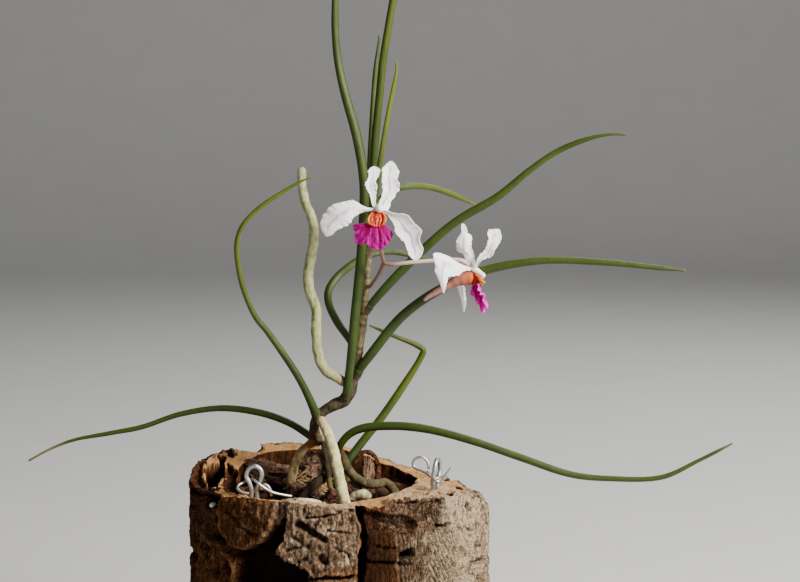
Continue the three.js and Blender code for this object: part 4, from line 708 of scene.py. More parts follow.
def cork_finish():
    """Bark: brown to pale grey by weathering, and orange tan where it was sawn. Painted shade makes its hollows,
    splits, furrows and inner wall near black, and painted light makes what stands out lighter.
    """
    cork = Finish("Cork")
    relief = cork.attribute("relief")
    edge = cork.attribute("edge")
    furrow_shade = cork.attribute("furrow_shade")
    weathered = cork.attribute("weathered")
    blotch = cork.noise(8, 3)
    grain = cork.noise(0.9, 4, (1, 1, 0.45))
    crumbs = cork.noise(0.6, 4)
    flecks = cork.noise(2.6, 4, (1, 1, 0.7))
    split = (cork.noise(2.8, 4, (1, 1, 0.5)) - 0.5).size().rise(0.0, 0.03)
    # high is the share of the bark that stands out; it makes raised bark lighter, a painted light.
    high = relief.rise(-3.5, 2.4)
    fibres = cork.noise(0.5, 3, (1, 1, 0.2))
    light = (grain - 0.5) * 2.2 + (fibres - 0.5) * 1.8 + (crumbs - 0.5) * 1.2 + (flecks - 0.5) * 1.1 + high * 0.5
    rust = cork.mix((0.013, 0.005, 0.002), (0.15, 0.055, 0.016), light + 0.05)
    # Light orange on raised crumbs and near plate edges: partly the bark's own broken orange, partly a painted
    # highlight.
    rust = cork.mix(rust, (0.38, 0.165, 0.06), crumbs.rise(0.56, 0.72) * high * 0.45 + edge * 0.4)
    # Where the weathering falls below zero the bark goes near black: painted shade beside the deep groove.
    rust = cork.mix((0.012, 0.004, 0.0015), rust, weathered.rise(-0.3, 0.02) * 0.85 + 0.15)
    brown = cork.mix((0.026, 0.014, 0.008), (0.27, 0.17, 0.1), light + 0.05)
    pale = cork.mix((0.08, 0.055, 0.036), (0.51, 0.38, 0.24), light + 0.3)
    share = weathered + (blotch - 0.5) * 0.8 + (flecks - 0.5) * 0.7
    bark = cork.mix(cork.mix(rust, brown, share.rise(0.12, 0.42)), pale, share.rise(0.52, 0.86))
    # Painted shade in the fine splits of the bark.
    bark = cork.mix((0.012, 0.005, 0.003), bark, split * 0.6 + 0.4)
    # Painted shade in the furrows between the stripes.
    bark = cork.mix(bark, (0.02, 0.009, 0.004), furrow_shade * 0.9)
    # Painted shade: the deeper the bark is sunk, the nearer it goes to black.
    bark = cork.mix(bark, (0.008, 0.003, 0.002), (1 - relief.rise(-7.5, -2.8)) * 0.95)
    flat = cork.node("ShaderNodeSeparateXYZ", None, {0: cork.place})
    x, y = Value(cork, flat.outputs["X"]), Value(cork, flat.outputs["Y"])
    rings = (((x * x + y * y) ** 0.5) * (2 * math.pi / 0.0026) + flecks * 9).sine() * 0.5 + 0.5
    pores = cork.cells(1.3, (1, 1, 0.8)).rise(0.08, 0.26)
    tan = cork.mix((0.6, 0.32, 0.13), (0.66, 0.44, 0.25), weathered.rise(0.2, 0.6))
    shade = cork.mix((0.34, 0.16, 0.06), (0.26, 0.13, 0.055), weathered.rise(0.1, 0.5))
    cut = cork.mix(shade, tan, rings * 0.15 + (blotch - 0.5) * 1.1 + (crumbs - 0.5) * 1.2 + 0.68)
    cut = cork.mix(shade, cut, pores * 0.3 + flecks.rise(0.34, 0.44) * 0.7)
    surface = cork.mix(bark, cut, cork.attribute("sawn").rise(0.6, 0.9))
    wall = cork.mix((0.012, 0.004, 0.002), (0.12, 0.04, 0.013), cork.noise(1.6, 4, (1, 1, 0.3)) * 2.2 - 0.7)
    # Painted shade: the inner wall and the deep rim hollows go near black.
    wall = cork.mix((0.003, 0.0015, 0.001), wall, relief.rise(-4.6, -1.2))
    surface = cork.mix(surface, wall, cork.attribute("inner").rise(0.03, 0.4))
    cork.bump(grain * 1.6 + fibres * 0.7 + crumbs * 0.6 + flecks * 0.7 + split * 0.5)
    return cork.set(base_color=surface, roughness=0.97, specular_ior_level=0.06)


def wood_bark_finish(name, light, dark, stretch=(1, 1, 1.6)):
    """Flaky pine bark with a few paler breaks."""
    bark = Finish(name)
    flakes = bark.noise(2.2, 5, stretch)
    dust = bark.noise(0.6, 3)
    tone = bark.mix(dark, light, (flakes - 0.5) * 3 + (dust - 0.5) * 1.2 + 0.4)
    tone = bark.mix(tone, mixed(light, (0.5, 0.3, 0.2), 0.5), bark.noise(3.4, 3).rise(0.6, 0.72) * 0.5)
    bark.bump(flakes * 1.6 + dust * 0.5)
    return bark.set(base_color=tone, roughness=0.95, specular_ior_level=0.08)


def mix_finish():
    """Loose dark bark, each chip of its own tone, with painted shade in the low gaps between chips."""
    mix = Finish("Planting_mix")
    tone = mix.attribute("tone")
    # Painted shade: the low gaps between chips go near black.
    low = mix.attribute("relief").rise(-2.2, 0.6)
    dust = mix.noise(0.7, 4)
    chip = mix.mix((0.02, 0.008, 0.005), (0.14, 0.06, 0.035), tone * 0.7 + (dust - 0.5) * 1.8 + 0.1)
    chip = mix.mix(chip, (0.34, 0.2, 0.1), tone.rise(0.86, 0.92) * 0.8)
    mix.bump(dust * 0.8 + mix.noise(2, 3) * 0.8)
    return mix.set(base_color=mix.mix((0.006, 0.003, 0.002), chip, low), roughness=0.95, specular_ior_level=0.06)


def leaf_finish(name, tip, yellow):
    """Satin olive green: yellower outwards, with fine lengthwise lines and a dry tip."""
    leaf = Finish(name)
    around, along = leaf.around_and_along()
    cloud = leaf.noise(16, 3)
    fine = leaf.noise(1.6, 3, (1, 1, 0.12))
    lines = (around * (2 * math.pi * 26)).sine() * 0.5 + 0.5
    share = cloud * 0.9 + fine * 0.4 + lines * 0.12 - 0.3
    olive = leaf.mix((0.009, 0.022, 0.0008), (0.042, 0.068, 0.004), share)
    lime = leaf.mix((0.05, 0.068, 0.001), (0.16, 0.19, 0.012), share)
    green = leaf.mix(olive, lime, along.rise(0.1, 0.85) * yellow)
    green = leaf.mix(green, (0.13, 0.13, 0.03), leaf.noise(0.8, 2).rise(0.68, 0.76) * 0.3)
    worn = leaf.mix((0.16, 0.15, 0.05), (0.2, 0.11, 0.05), along.rise(tip + (1 - tip) * 0.6, 1))
    green = leaf.mix(green, worn, along.rise(tip - 0.05, tip + 0.03))
    leaf.bump(lines * 0.05 + fine * 0.12 + cloud * 0.3)
    return leaf.set(base_color=green, roughness=0.4 + cloud * 0.1, specular_ior_level=0.28)


def root_finish(name, light, shade, near_stem, patch):
    """Velamen: a matt mottled skin with fine specks, and a stained part where it has one."""
    root = Finish(name)
    _, along = root.around_and_along()
    cloud = root.noise(4, 4)
    streaks = root.noise(1.5, 3, (1, 1, 0.5))
    specks = root.noise(0.5, 3)
    skin = root.mix(shade, light, (cloud - 0.5) * 3 + (streaks - 0.5) * 2 + 0.68)
    skin = root.mix(skin, tuple(0.45 * part for part in shade), specks.rise(0.6, 0.7) * 0.5)
    skin = root.mix(near_stem, skin, along.rise(0.04, 0.3) + (cloud - 0.5) * 0.8)
    if patch:
        start, end = patch
        stain = along.rise(start - 0.04, start) * (1 - along.rise(end, end + 0.04))
        skin = root.mix(skin, (0.08, 0.06, 0.015), stain * root.noise(2.2, 3).rise(0.4, 0.52))
    root.bump(streaks * 0.35 + cloud * 0.5 + specks * 0.16)
    return root.set(base_color=skin, roughness=0.78, specular_ior_level=0.16)


def stem_finish():
    """Dry sheaths: dark brown on the old foot and the bend, mottled pinkish brown above."""
    stem = Finish("Stem")
    _, along = stem.around_and_along()
    cloud = stem.noise(3.2, 4)
    fibres = stem.noise(0.9, 3, (1, 1, 0.2))
    share = (cloud - 0.5) * 2.4 + (fibres - 0.5) * 1.2 + 0.5
    old = stem.mix((0.016, 0.007, 0.003), (0.09, 0.045, 0.02), share)
    bend = stem.mix((0.012, 0.008, 0.003), (0.06, 0.044, 0.018), share)
    upper = stem.mix((0.06, 0.037, 0.02), (0.2, 0.16, 0.065), share)
    tone = stem.mix(stem.mix(old, bend, along.rise(0.33, 0.38)), upper, along.rise(0.53, 0.6))
    tone = stem.mix(tone, (0.02, 0.012, 0.007), stem.attribute("ring") * 0.6)
    stem.bump(fibres * 0.4 + cloud * 0.4)
    return stem.set(base_color=tone, roughness=0.62, specular_ior_level=0.25)


def sheath_finish():
    """Leaf sheaths: brown at the stem, greener outwards, with a dark joint line."""
    sheath = Finish("Sheath")
    _, along = sheath.around_and_along()
    cloud = sheath.noise(1.8, 4, (1, 1, 0.5))
    brown = sheath.mix((0.02, 0.011, 0.006), (0.11, 0.07, 0.035), (cloud - 0.5) * 2 + 0.5)
    green = sheath.mix((0.014, 0.016, 0.003), (0.055, 0.06, 0.014), (cloud - 0.5) * 2 + 0.5)
    tone = sheath.mix(brown, green, along.rise(0.35, 0.8))
    tone = sheath.mix(tone, (0.02, 0.013, 0.006), along.rise(0.84, 0.9))
    sheath.bump(cloud * 0.4)
    return sheath.set(base_color=tone, roughness=0.6, specular_ior_level=0.25)


def shoot_finish():
    shoot = Finish("Shoot")
    _, along = shoot.around_and_along()
    tone = shoot.mix((0.36, 0.13, 0.045), (0.5, 0.48, 0.2), along.rise(0.25, 0.6))
    tone = shoot.mix(tone, (0.62, 0.56, 0.34), along.rise(0.75, 1) * shoot.noise(1.4))
    shoot.bump(shoot.noise(0.8) * 0.2)
    return shoot.set(base_color=tone, roughness=0.5)


def stalk_finish():
    """Brown at the stem, with one pedicel that turns to a dusty pink."""
    stalk = Finish("Stalk")
    _, along = stalk.around_and_along()
    cloud = stalk.noise(2.5, 3)
    brown = stalk.mix((0.09, 0.035, 0.02), (0.22, 0.09, 0.055), cloud)
    pink = stalk.mix((0.5, 0.34, 0.28), (0.68, 0.52, 0.45), cloud * 1.6 - 0.3)
    tone = stalk.mix(brown, pink, along.rise(0.02, 0.4) * stalk.attribute("pink"))
    stalk.bump(cloud * 0.15 + stalk.noise(0.6) * 0.08)
    return stalk.set(base_color=tone, roughness=0.5, specular_ior_level=0.3)


def sepal_finish():
    """White tissue with faint veins and a lilac line along the middle."""
    sepal = Finish("Sepal")
    across, along = sepal.around_and_along()
    off = (across - 0.5).size()
    cloud = sepal.noise(5, 3)
    veins = (across * (2 * math.pi * 9) + sepal.noise(4, 2) * 3).sine() * 0.5 + 0.5
    white = sepal.mix((0.9, 0.855, 0.82), (0.98, 0.95, 0.915), cloud + veins * 0.2)
    lilac = (1 - off.rise(0.02, 0.17)) * along.rise(0.25, 0.5) * (1 - along.rise(0.8, 0.94))
    white = sepal.mix(white, (0.62, 0.34, 0.6), lilac * sepal.noise(3, 3).rise(0.2, 0.6) * 0.9)
    white = sepal.mix(white, (0.92, 0.76, 0.7), (1 - along.rise(0, 0.14)) * 0.6)
    sepal.bump(veins * 0.04 + sepal.noise(0.5, 2) * 0.05 + cloud * 0.25)
    sepal.set(base_color=white, roughness=0.55, specular_ior_level=0.25)
    return sepal.set(subsurface_weight=0.25, subsurface_scale=0.002)


def lip_finish(name, edge):
    """Velvet magenta: crimson at the neck, with three paler ridges and a pinker frilled edge."""
    lip = Finish(name)
    across, along = lip.around_and_along()
    cloud = lip.noise(2, 4)
    folds = (across * (2 * math.pi * 11)).sine() * 0.5 + 0.5
    middle = 1 - (across - 0.52).size().rise(0.08, 0.16)
    blade = lip.mix((0.15, 0.0, 0.05), (0.28, 0.0, 0.155), along * 0.7 + cloud * 1.2 - 0.4)
    blade = lip.mix(blade, (0.24, 0.0, 0.02), (1 - along.rise(0.05, 0.42)) * 0.7)
    blade = lip.mix(blade, (0.5, 0.01, 0.3), folds.rise(0.5, 0.9) * middle * (1 - along.rise(0.5, 0.85)) * 0.6)
    # The edge colour comes per flower; the side lip's is painted brighter, a painted light.
    blade = lip.mix(blade, edge, along.rise(0.5, 1) * (0.5 + cloud * 0.6))
    lip.bump(lip.noise(0.5, 3) * 0.15 + cloud * 0.4)
    lip.set(subsurface_weight=0.3, subsurface_scale=0.003)
    return lip.set(base_color=blade, roughness=0.65, specular_ior_level=0.03)


def lobe_finish():
    """Orange with red-brown stripes, a few yellow lines and a golden edge."""
    lobe = Finish("Side_lobes")
    across, along = lobe.around_and_along()
    stripes = (across * (2 * math.pi * 4.5) + lobe.noise(1.6, 2) * 6).sine() * 0.5 + 0.5
    warm = lobe.mix((0.26, 0.006, 0.002), (0.62, 0.075, 0.003), lobe.noise(1.6, 3) * 2.4 - 0.8)
    warm = lobe.mix(warm, (0.2, 0.004, 0.002), stripes.rise(0.5, 0.85) * (1 - along.rise(0.8, 0.98)) * 0.85)
    warm = lobe.mix(warm, (0.9, 0.5, 0.24), (1 - stripes).rise(0.9, 0.99) * along.rise(0.25, 0.5) * 0.5)
    warm = lobe.mix(warm, (0.9, 0.3, 0.02), (across - 0.5).size().rise(0.4, 0.47) * 0.7)
    warm = lobe.mix(warm, (0.42, 0.0, 0.06), along.rise(0.86, 1) * 0.7)
    lobe.bump(stripes * 0.25)
    return lobe.set(base_color=warm, roughness=0.5, specular_ior_level=0.15)


def column_finish():
    """White with a pink flush underneath, waxy."""
    column = Finish("Column")
    _, along = column.around_and_along()
    flush = column.attribute("under").rise(-0.1, 0.6) * along.rise(0.2, 0.6) + column.noise(2) * 0.15
    tone = column.mix((1.0, 0.9, 0.87), (0.85, 0.3, 0.38), flush)
    tone = column.mix(tone, (0.94, 0.82, 0.7), along.rise(0.93, 0.99) * 0.5)
    column.bump(column.noise(1.2) * 0.15)
    return column.set(base_color=tone, roughness=0.45, specular_ior_level=0.3)


def spur_finish():
    """Salmon at the mouth, pale pink towards the tip."""
    spur = Finish("Spur")
    _, along = spur.around_and_along()
    cloud = spur.noise(2.2, 3)
    tone = spur.mix((0.4, 0.075, 0.025), (0.3, 0.12, 0.08), along.rise(0.05, 0.3) + (cloud - 0.5) * 0.6)
    tone = spur.mix(tone, (0.26, 0.125, 0.12), along.rise(0.4, 0.85))
    spur.bump(spur.noise(0.8) * 0.2)
    return spur.set(base_color=tone, roughness=0.55, specular_ior_level=0.2)


def wire_finish():
    """Galvanised steel: dull zinc with faint crystals and drawing lines."""
    wire = Finish("Wire")
    cloud = wire.noise(1.8, 3)
    zinc = wire.mix((0.26, 0.26, 0.24), (0.5, 0.5, 0.48), cloud + wire.cells(0.8) * 0.4 - 0.1)
    wire.bump(wire.noise(0.5, 3) * 0.06)
    return wire.set(base_color=zinc, roughness=0.26 + cloud * 0.22, metallic=0.92)


def bead_finish():
    bead = Finish("Bead")
    chalk = bead.mix((0.55, 0.5, 0.42), (0.82, 0.79, 0.72), bead.noise(1) * 1.5 - 0.2)
    bead.bump(bead.noise(0.4) * 0.1)
    return bead.set(base_color=chalk, roughness=0.7)


def fibre_finish():
    """Straw-coloured dead root fibres."""
    fibre = Finish("Fibre")
    straw = fibre.mix((0.12, 0.065, 0.022), (0.5, 0.34, 0.14), fibre.noise(2, 3) * 2 - 0.5)
    fibre.bump(fibre.noise(0.3) * 0.1)
    return fibre.set(base_color=straw, roughness=0.8)


def mixed(first, second, share):
    return tuple(a + (b - a) * share for a, b in zip(first, second))


def near_segment(point, start, end):
    """Distance of a flat point from a line between two others."""
    line = end - start
    share = min(1, max(0, (point - start).dot(line) / max(line.length_squared, 1e-9)))
    return (point - start - line * share).length


def box_of(outline):
    across, up = zip(*outline)
    return min(across), max(across), min(up), max(up)


# Cork tube

def depth_inside(x, z, outline):
    """Distance of a flat point from an outline, positive inside it."""
    nearest = math.inf
    inside = False
    for (ax, az), (bx, bz) in zip(outline, outline[1:] + outline[:1]):
        dx, dz = bx - ax, bz - az
        share = min(1, max(0, ((x - ax) * dx + (z - az) * dz) / (dx * dx + dz * dz)))
        nearest = min(nearest, math.hypot(x - ax - dx * share, z - az - dz * share))
        if (az > z) != (bz > z) and x < ax + (z - az) / dz * dx:
            inside = not inside
    return nearest if inside else -nearest


def bark_sheets():
    """The bark outlines in millimetres, each with its box, to pass over the far ones quickly."""
    sheets = []
    for corners, out in BARK:
        if len(corners) == 2:
            (left, low), (right, high) = corners
            corners = [(left, low), (right, low), (right, high), (left, high)]
        outline = [(angle * BARK_ARC, height) for angle, height in corners]
        sheets.append((outline, box_of(outline), out))
    return sheets


def around_tube(angle, radius, height):
    turn = math.radians(angle)
    return Vector((radius * math.sin(turn), -radius * math.cos(turn), height))


def bark_relief(sheets, angle, height):
    """How far the bark stands out at an angle and a height, how near a plate's edge that is, and how furrowed; the
    finish gives the edges a partly painted highlight and the furrows painted shade.
    """
    place = around_tube(angle, between(OUTSIDE, angle), height)
    warp = noise.noise_vector(place / 6) * 1.1 + noise.noise_vector(place / 1.9) * 0.8
    warp += noise.noise_vector(place / 22) * 7 * smooth((abs(angle) - 94) / 20)
    x, z = angle * BARK_ARC + warp.x, height + warp.z
    raised = sunk = edge = 0
    for outline, (left, right, low, high), out in sheets:
        if left - 2 < x < right + 2 and low - 2 < z < high + 2:
            depth = depth_inside(x, z, outline)
            if out > 0:
                raised = max(raised, out * smooth(depth / BARK_EDGE + 1))
                edge = max(edge, math.exp(-(((depth - 0.4) / 0.8) ** 2)))
            else:
                sunk = min(sunk, out * smooth(depth / BARK_EDGE))
    relief = raised + sunk + 0.5 * edge
    flat = Vector((x, z))
    for start, end, half_width, depth in CRACKS:
        if min(start[0], end[0]) - 3 < angle < max(start[0], end[0]) + 3:
            ends = (Vector((a * BARK_ARC, h)) for a, h in (start, end))
            relief -= depth * (1 - smooth(near_segment(flat, *ends) / half_width - 0.4))
    striped = between(STRIPES, angle) * smooth((105.5 - 0.06 * max(0, angle - 30) - height) / 2) * (sunk > -1.5)
    rough = 1 - 0.6 * min(1, striped)
    relief += rough * 0.9 * noise.fractal(place / 7, 0.9, 2.1, 3)
    relief += rough * 0.8 * (0.35 - abs(noise.fractal(place / 2.6, 0.8, 2.2, 3)))
    relief += between(FIBRES, angle) * noise.fractal(Vector((place.x, place.y, place.z / 4)) / 1.5, 0.8, 2, 2)
    lean = (105 - height) * (0.04 + 0.4 * smooth((angle - 22) / 26) * smooth((90 - angle) / 30))
    spacing = 2.5 - 0.7 * smooth((angle - 26) / 14)
    ridge = math.sin((angle * BARK_ARC - lean) * 2 * math.pi / spacing + 2.2 * noise.noise(place / 5))
    relief += striped * 0.85 * ridge
    pit = noise.voronoi(place / 3.1)[0][0]
    relief -= 1.5 * between(PITTING, angle) * (1 - smooth(pit / 0.45))
    return relief, edge, min(1, striped * 1.2) * max(0, 0.25 - ridge) / 1.25


def rim_drop(place, hollows):
    """How deep the sawn rim is hollowed at a point, less a curled lip round each hollow."""
    wander = place.xy + noise.noise_vector(place / 4).xy * 1.2 + noise.noise_vector(place / 1.4).xy * 0.5
    drop = lip = 0
    for outline, (left, right, front, back), depth in hollows:
        if left - 3 < wander.x < right + 3 and front - 3 < wander.y < back + 3:
            inside = depth_inside(wander.x, wander.y, outline)
            drop = max(drop, depth * smooth(inside / 0.8 + 0.5))
            lip = max(lip, 0.8 * window(-inside, 0.6, 1.2, 0.7))
    return drop - lip * (drop < 0.5)


def cork_tube():
    """One closed ring: outside, sawn rim, inner wall and foot."""
    columns, outside, rim, inside, foot = 560, 124, 34, 16, 2
    rows = outside + rim + inside + foot
    crowding = 0.45
    bm = grid(columns, rows)
    names = ("relief", "sawn", "inner", "weathered", "edge", "furrow_shade")
    layers = {name: bm.verts.layers.float.new(name) for name in names}
    sheets = bark_sheets()
    hollows = [(outline, box_of(outline), depth) for outline, depth in RIM_HOLLOWS]
    for vert in bm.verts:
        turn = 2 * vert.co.x - 1
        angle = 180 * (turn - crowding * math.sin(math.pi * turn) / math.pi)
        row = vert.co.y * rows
        outer_top = between(RIM_OUTER, angle) + 0.8 * noise.fractal(around_tube(angle, 73, 0) / 3, 1, 2, 3)
        inner_top = between(RIM_INNER, angle)
        opening = between(OPENING, angle)
        worn = 3.5 * window(angle, 80, 106, 16)
        relief = sawn = inner = edge = furrow_shade = stain = 0
        if row <= outside:
            share = row / outside
            height = outer_top * share * (1.5 - 0.5 * share)
            relief, edge, furrow_shade = bark_relief(sheets, angle, height)
            for (left, low), (right, high), change in STAINS_AND_SHADE:
                stain += change * window(angle, left, right, 3) * window(height, low, high, 3)
            near_top = smooth((height - outer_top) / 2 + 1)
            relief = (relief * (1 - 0.35 * near_top) - 0.3 * near_top) * smooth(height / 3)
            relief -= worn * smooth((height - outer_top) / 9 + 1)
            vert.co = around_tube(angle, between(OUTSIDE, angle) + relief, height)
        elif row <= outside + rim:
            share = (row - outside) / rim
            relief, edge, furrow_shade = bark_relief(sheets, angle, outer_top)
            radius = between(OUTSIDE, angle) + relief * 0.65 - 0.3 - worn
            bark = between(BARK_ON_RIM, angle)
            in_from_edge = share * (radius - opening) - bark
            top = outer_top + (inner_top - outer_top) * share
            place = around_tube(angle, radius + (opening - radius) * share, top)
            off_edge = smooth(share / 0.04) * smooth((1 - share) / 0.05)
            drop = rim_drop(place, hollows) * off_edge
            lumps = 0.7 * noise.fractal(place / 4, 1, 2, 4) + 0.3 * noise.fractal(place / 1.1, 1, 2, 2)
            step = 1.8 * min(1, bark / 3) * (1 - smooth(in_from_edge / 0.9))
            place.z += (lumps - step) * off_edge - drop
            ragged = smooth((in_from_edge - 0.8 - 1.1 * noise.fractal(place / 2, 1, 2, 3)) / 0.8)
            sawn = ragged * (1 - smooth((drop - 0.6) / 1.2))
            # Deep rim hollows take the inner wall's colour and a lower relief, so that the finish paints them in
            # shade.
            inner = smooth((drop - 0.4) / 2)
            relief = relief * (1 - ragged) * (drop < 1) - drop * 0.5
            vert.co = place
        elif row <= outside + rim + inside:
            share = (row - outside - rim) / inside
            height = inner_top * (1 - share ** 1.6)
            lower = between(HOLLOW, angle)
            radius = opening + (lower - opening) * smooth((share - 0.1) / 0.4)
            place = around_tube(angle, radius, height)
            bulge = 1.1 * noise.fractal(Vector((place.x, place.y, place.z / 3)) / 3, 0.9, 2, 3)
            inner = smooth(share / 0.06)
            sawn = 1 - inner
            # The inner wall's relief is set low so that the finish paints it in shade.
            relief = -4 * smooth(share / 0.3)
            vert.co = around_tube(angle, radius + bulge * smooth(height / 3) * smooth(share / 0.05), height)
        else:
            share = (row - outside - rim - inside) / foot
            lower = between(HOLLOW, angle)
            vert.co = around_tube(angle, lower + (between(OUTSIDE, angle) - lower) * share, 0)
        values = (relief, sawn, inner, between(WEATHERED, angle) + stain, edge, furrow_shade)
        for name, value in zip(names, values):
            vert[layers[name]] = value
    settle("cork_bark_tube", bm, cork_finish(), "cork_tube")


# Planting mix and what lies on it

def mix_height(x, y):
    bank = 6 * math.exp(-(((x + 28) / 26) ** 2) - ((y - 28) / 24) ** 2)
    dip = -12 * math.exp(-(((x - 26) / 14) ** 2) - ((y - 12) / 22) ** 2)
    heap = 6 * math.exp(-(((x + 17) / 10) ** 2) - ((y + 1) / 8) ** 2)
    return MIX_LEVEL + bank + dip + heap


def chip(size, turn, place, roughness, cuts, seed, grain=(1, 1, 1)):
    """A rough block of bark with broken corners and layers."""
    bm = bmesh.new()
    bmesh.ops.create_cube(bm, size=1)
    bmesh.ops.subdivide_edges(bm, edges=bm.edges, cuts=cuts, use_grid_fill=True)
    start = Vector((seed * 7.3, seed * 3.1, seed * 5.7))
    for vert in bm.verts:
        point = vert.co.copy()
        point *= 1 - 0.28 * max(0, point.length - 0.55) / 0.32
        shift = noise.noise_vector(point * 1.7 + start) * 0.11
        layered = Vector(a * b for a, b in zip(point, grain))
        shift += noise.noise_vector(layered * 4 + start) * 0.06 + noise.noise_vector(layered * 9 + start) * 0.03
        vert.co = Vector(a * b for a, b in zip(point + shift * roughness, size))
    bmesh.ops.rotate(bm, verts=bm.verts, matrix=Euler(turn).to_matrix())
    bmesh.ops.translate(bm, verts=bm.verts, vec=place)
    return bm


def planting_mix():
    """A bed of chips with loose ones on top."""
    columns, top, side = 200, 60, 3
    rows = top + side
    bm = grid(columns, rows)
    names = ("relief", "tone")
    layers = {name: bm.verts.layers.float.new(name) for name in names}
    for vert in bm.verts:
        angle = 360 * vert.co.x - 180
        row = vert.co.y * rows
        edge = between(OPENING, angle) + 0.4
        radius = edge * min(1, row / top)
        place = around_tube(angle, radius, 0)
        near, middles = noise.voronoi(Vector((place.x / 6.5, place.y / 6.5, 0.3)))
        x, y, _ = middles[0]
        lift = 1.7 * speckle(round(x, 3), round(y, 3), 1)
        slope = (place.x / 6.5 - x) * speckle(x, y, 2) * 3 + (place.y / 6.5 - y) * speckle(y, x, 3) * 3
        gap = 1 - smooth((near[1] - near[0]) / 0.22)
        lumps = lift + slope - 2.6 * gap + 0.5 * noise.fractal(place / 2, 0.8, 2, 3)
        height = mix_height(place.x, place.y) + lumps
        if row > top:
            height += (PLUG_THICKNESS + WALL_GAP - height) * (row - top) / side
        vert.co = (place.x, place.y, height)
        # This relief is what the finish paints as shade in the gaps.
        vert[layers["relief"]] = lumps - 0.5
        vert[layers["tone"]] = 0.5 + 0.5 * speckle(round(x, 3), round(y, 3), 5)
    rim = [edge for edge in bm.edges if edge.is_boundary and edge.verts[0].co.z < MIX_LEVEL / 2]
    bmesh.ops.remove_doubles(bm, verts=bm.verts, dist=MERGE)
    bmesh.ops.holes_fill(bm, edges=[edge for edge in bm.edges if edge.is_boundary], sides=0)
    draw = random.Random(11)
    parts = [bm]
    for number in range(70):
        angle = draw.uniform(-180, 180)
        radius = (between(OPENING, angle) - 5) * math.sqrt(draw.random())
        place = around_tube(angle, radius, 0)
        size = [draw.uniform(2.5, 6.5), draw.uniform(2, 4.5), draw.uniform(1, 2.4)]
        turn = [draw.uniform(-0.5, 0.5), draw.uniform(-0.5, 0.5), draw.uniform(0, 3.1)]
        place.z = mix_height(place.x, place.y) + 1.6
        loose = chip(size, turn, place, 1.3, 3, number)
        layer = loose.verts.layers.float.new("relief")
        tone = loose.verts.layers.float.new("tone")
        shade = draw.random()
        for vert in loose.verts:
            vert[layer] = 0.4
            vert[tone] = shade
        parts.append(loose)
    settle("planting_mix", joined(parts), mix_finish(), "bark_mix")


def bark_chunks():
    for number, (name, (size, turn, place, light, grain)) in enumerate(CHUNKS.items()):
        tone = mixed((0.12, 0.045, 0.036), (0.5, 0.34, 0.2), light)
        shade = mixed((0.015, 0.006, 0.005), (0.08, 0.04, 0.022), light)
        finish = wood_bark_finish(name.title(), tone, shade, grain)
        settle(f"bark_{name}", chip(size, turn, place, 1.7, 20, number, grain), finish, name)


def inner_curl():
    """A curl of inner bark that arches over the standing chunk."""
    def relief(around, along, place):
        return 0.5 * noise.fractal(place / 3, 0.8, 2, 4)

    points = [(8, 34, 118), (12.2, 34, 124.4), (15.3, 34, 125), (17.8, 34, 123.6), (20.2, 33, 119), (20, 32, 108)]
    bm = tube(points, [(0, 1.2), (0.5, 1.1), (1, 1.8)], 24, 70, relief=relief)
    settle("inner_bark_curl", bm, wood_bark_finish("Curl", (0.14, 0.055, 0.022), (0.014, 0.005, 0.003)))


def bead():
    bm = bmesh.new()
    bmesh.ops.create_icosphere(bm, subdivisions=3, radius=1)
    for vert in bm.verts:
        vert.co *= 1 + 0.06 * noise.noise(vert.co * 1.5)
    bmesh.ops.scale(bm, vec=BEAD_HALF_SIZE, verts=bm.verts)
    bmesh.ops.rotate(bm, verts=bm.verts, matrix=Euler((0, 0, BEAD_TURN)).to_matrix())
    bmesh.ops.translate(bm, verts=bm.verts, vec=BEAD_PLACE)
    settle("pale_bead", bm, bead_finish(), "bead")


def loose_fibres():
    """Dry root fibres that lie on the mix behind the roots."""
    draw = random.Random(4)
    parts = []
    for _ in range(80):
        x, y = draw.uniform(-27, -5), draw.uniform(-12, 4)
        place = Vector((x, y, mix_height(x, y) + draw.uniform(0.8, 4.5)))
        turn, rise = draw.uniform(-1.2, 1.2), draw.uniform(-0.7, 0.9)
        points = [place]
        for _ in range(3):
            turn += draw.uniform(-0.2, 0.2)
            step = Vector((math.cos(turn), math.sin(turn) * 0.5, rise + draw.uniform(-0.15, 0.15)))
            points.append(points[-1] + step * draw.uniform(1.2, 3))
        parts.append(tube(points, [(0, 0.3), (0.5, 0.45), (1, 0.16)], 6, 14))
    settle("loose_fibres", joined(parts), fibre_finish())


# Plant

def stem():
    finish = stem_finish()

    def relief(around, along, place):
        ring = max(window(along, at - 0.002, at + 0.002, 0.006) for at in STEM_RINGS)
        return 0.24 * ring + 0.22 * noise.fractal(place / 2.5, 1, 2, 3) + 0.05 * math.sin(around * 11)

    bm = tube(STEM, STEM_RADIUS, 32, 240, relief=relief)
    layer = bm.verts.layers.float.new("ring")
    for vert in bm.verts:
        along = vert.link_loops[0][bm.loops.layers.uv["UVMap"]].uv.y
        vert[layer] = max(window(along, at + 0.003, at + 0.006, 0.005) for at in STEM_RINGS)
    settle("zigzag_stem", bm, finish, "stem")


def leaf_sheaths():
    """The sheaths that clasp each leaf's foot; one leaf rises out of the mix instead."""
    parts = []
    for name, (points, radius, *_) in LEAVES.items():
        if name == "leaf_right_bent":
            continue
        route = Route(points)
        foot, direction = route.at(0)
        reach = between(radius, 0.04)
        along = [foot - direction * 2] + [route.at(place / route.length)[0] for place in (0.5, 3, 5.5)]

        def relief(around, share, place):
            return 0.14 * noise.fractal(place / 1.6, 1, 2, 2)

        sizes = [(0, reach * 0.7), (0.3, reach * 1.12), (0.85, reach * 1.12), (1, reach * 1.04)]
        parts.append(tube(along, sizes, 24, 30, relief=relief, bluntness=0.3))
    settle("leaf_sheaths", joined(parts), sheath_finish())


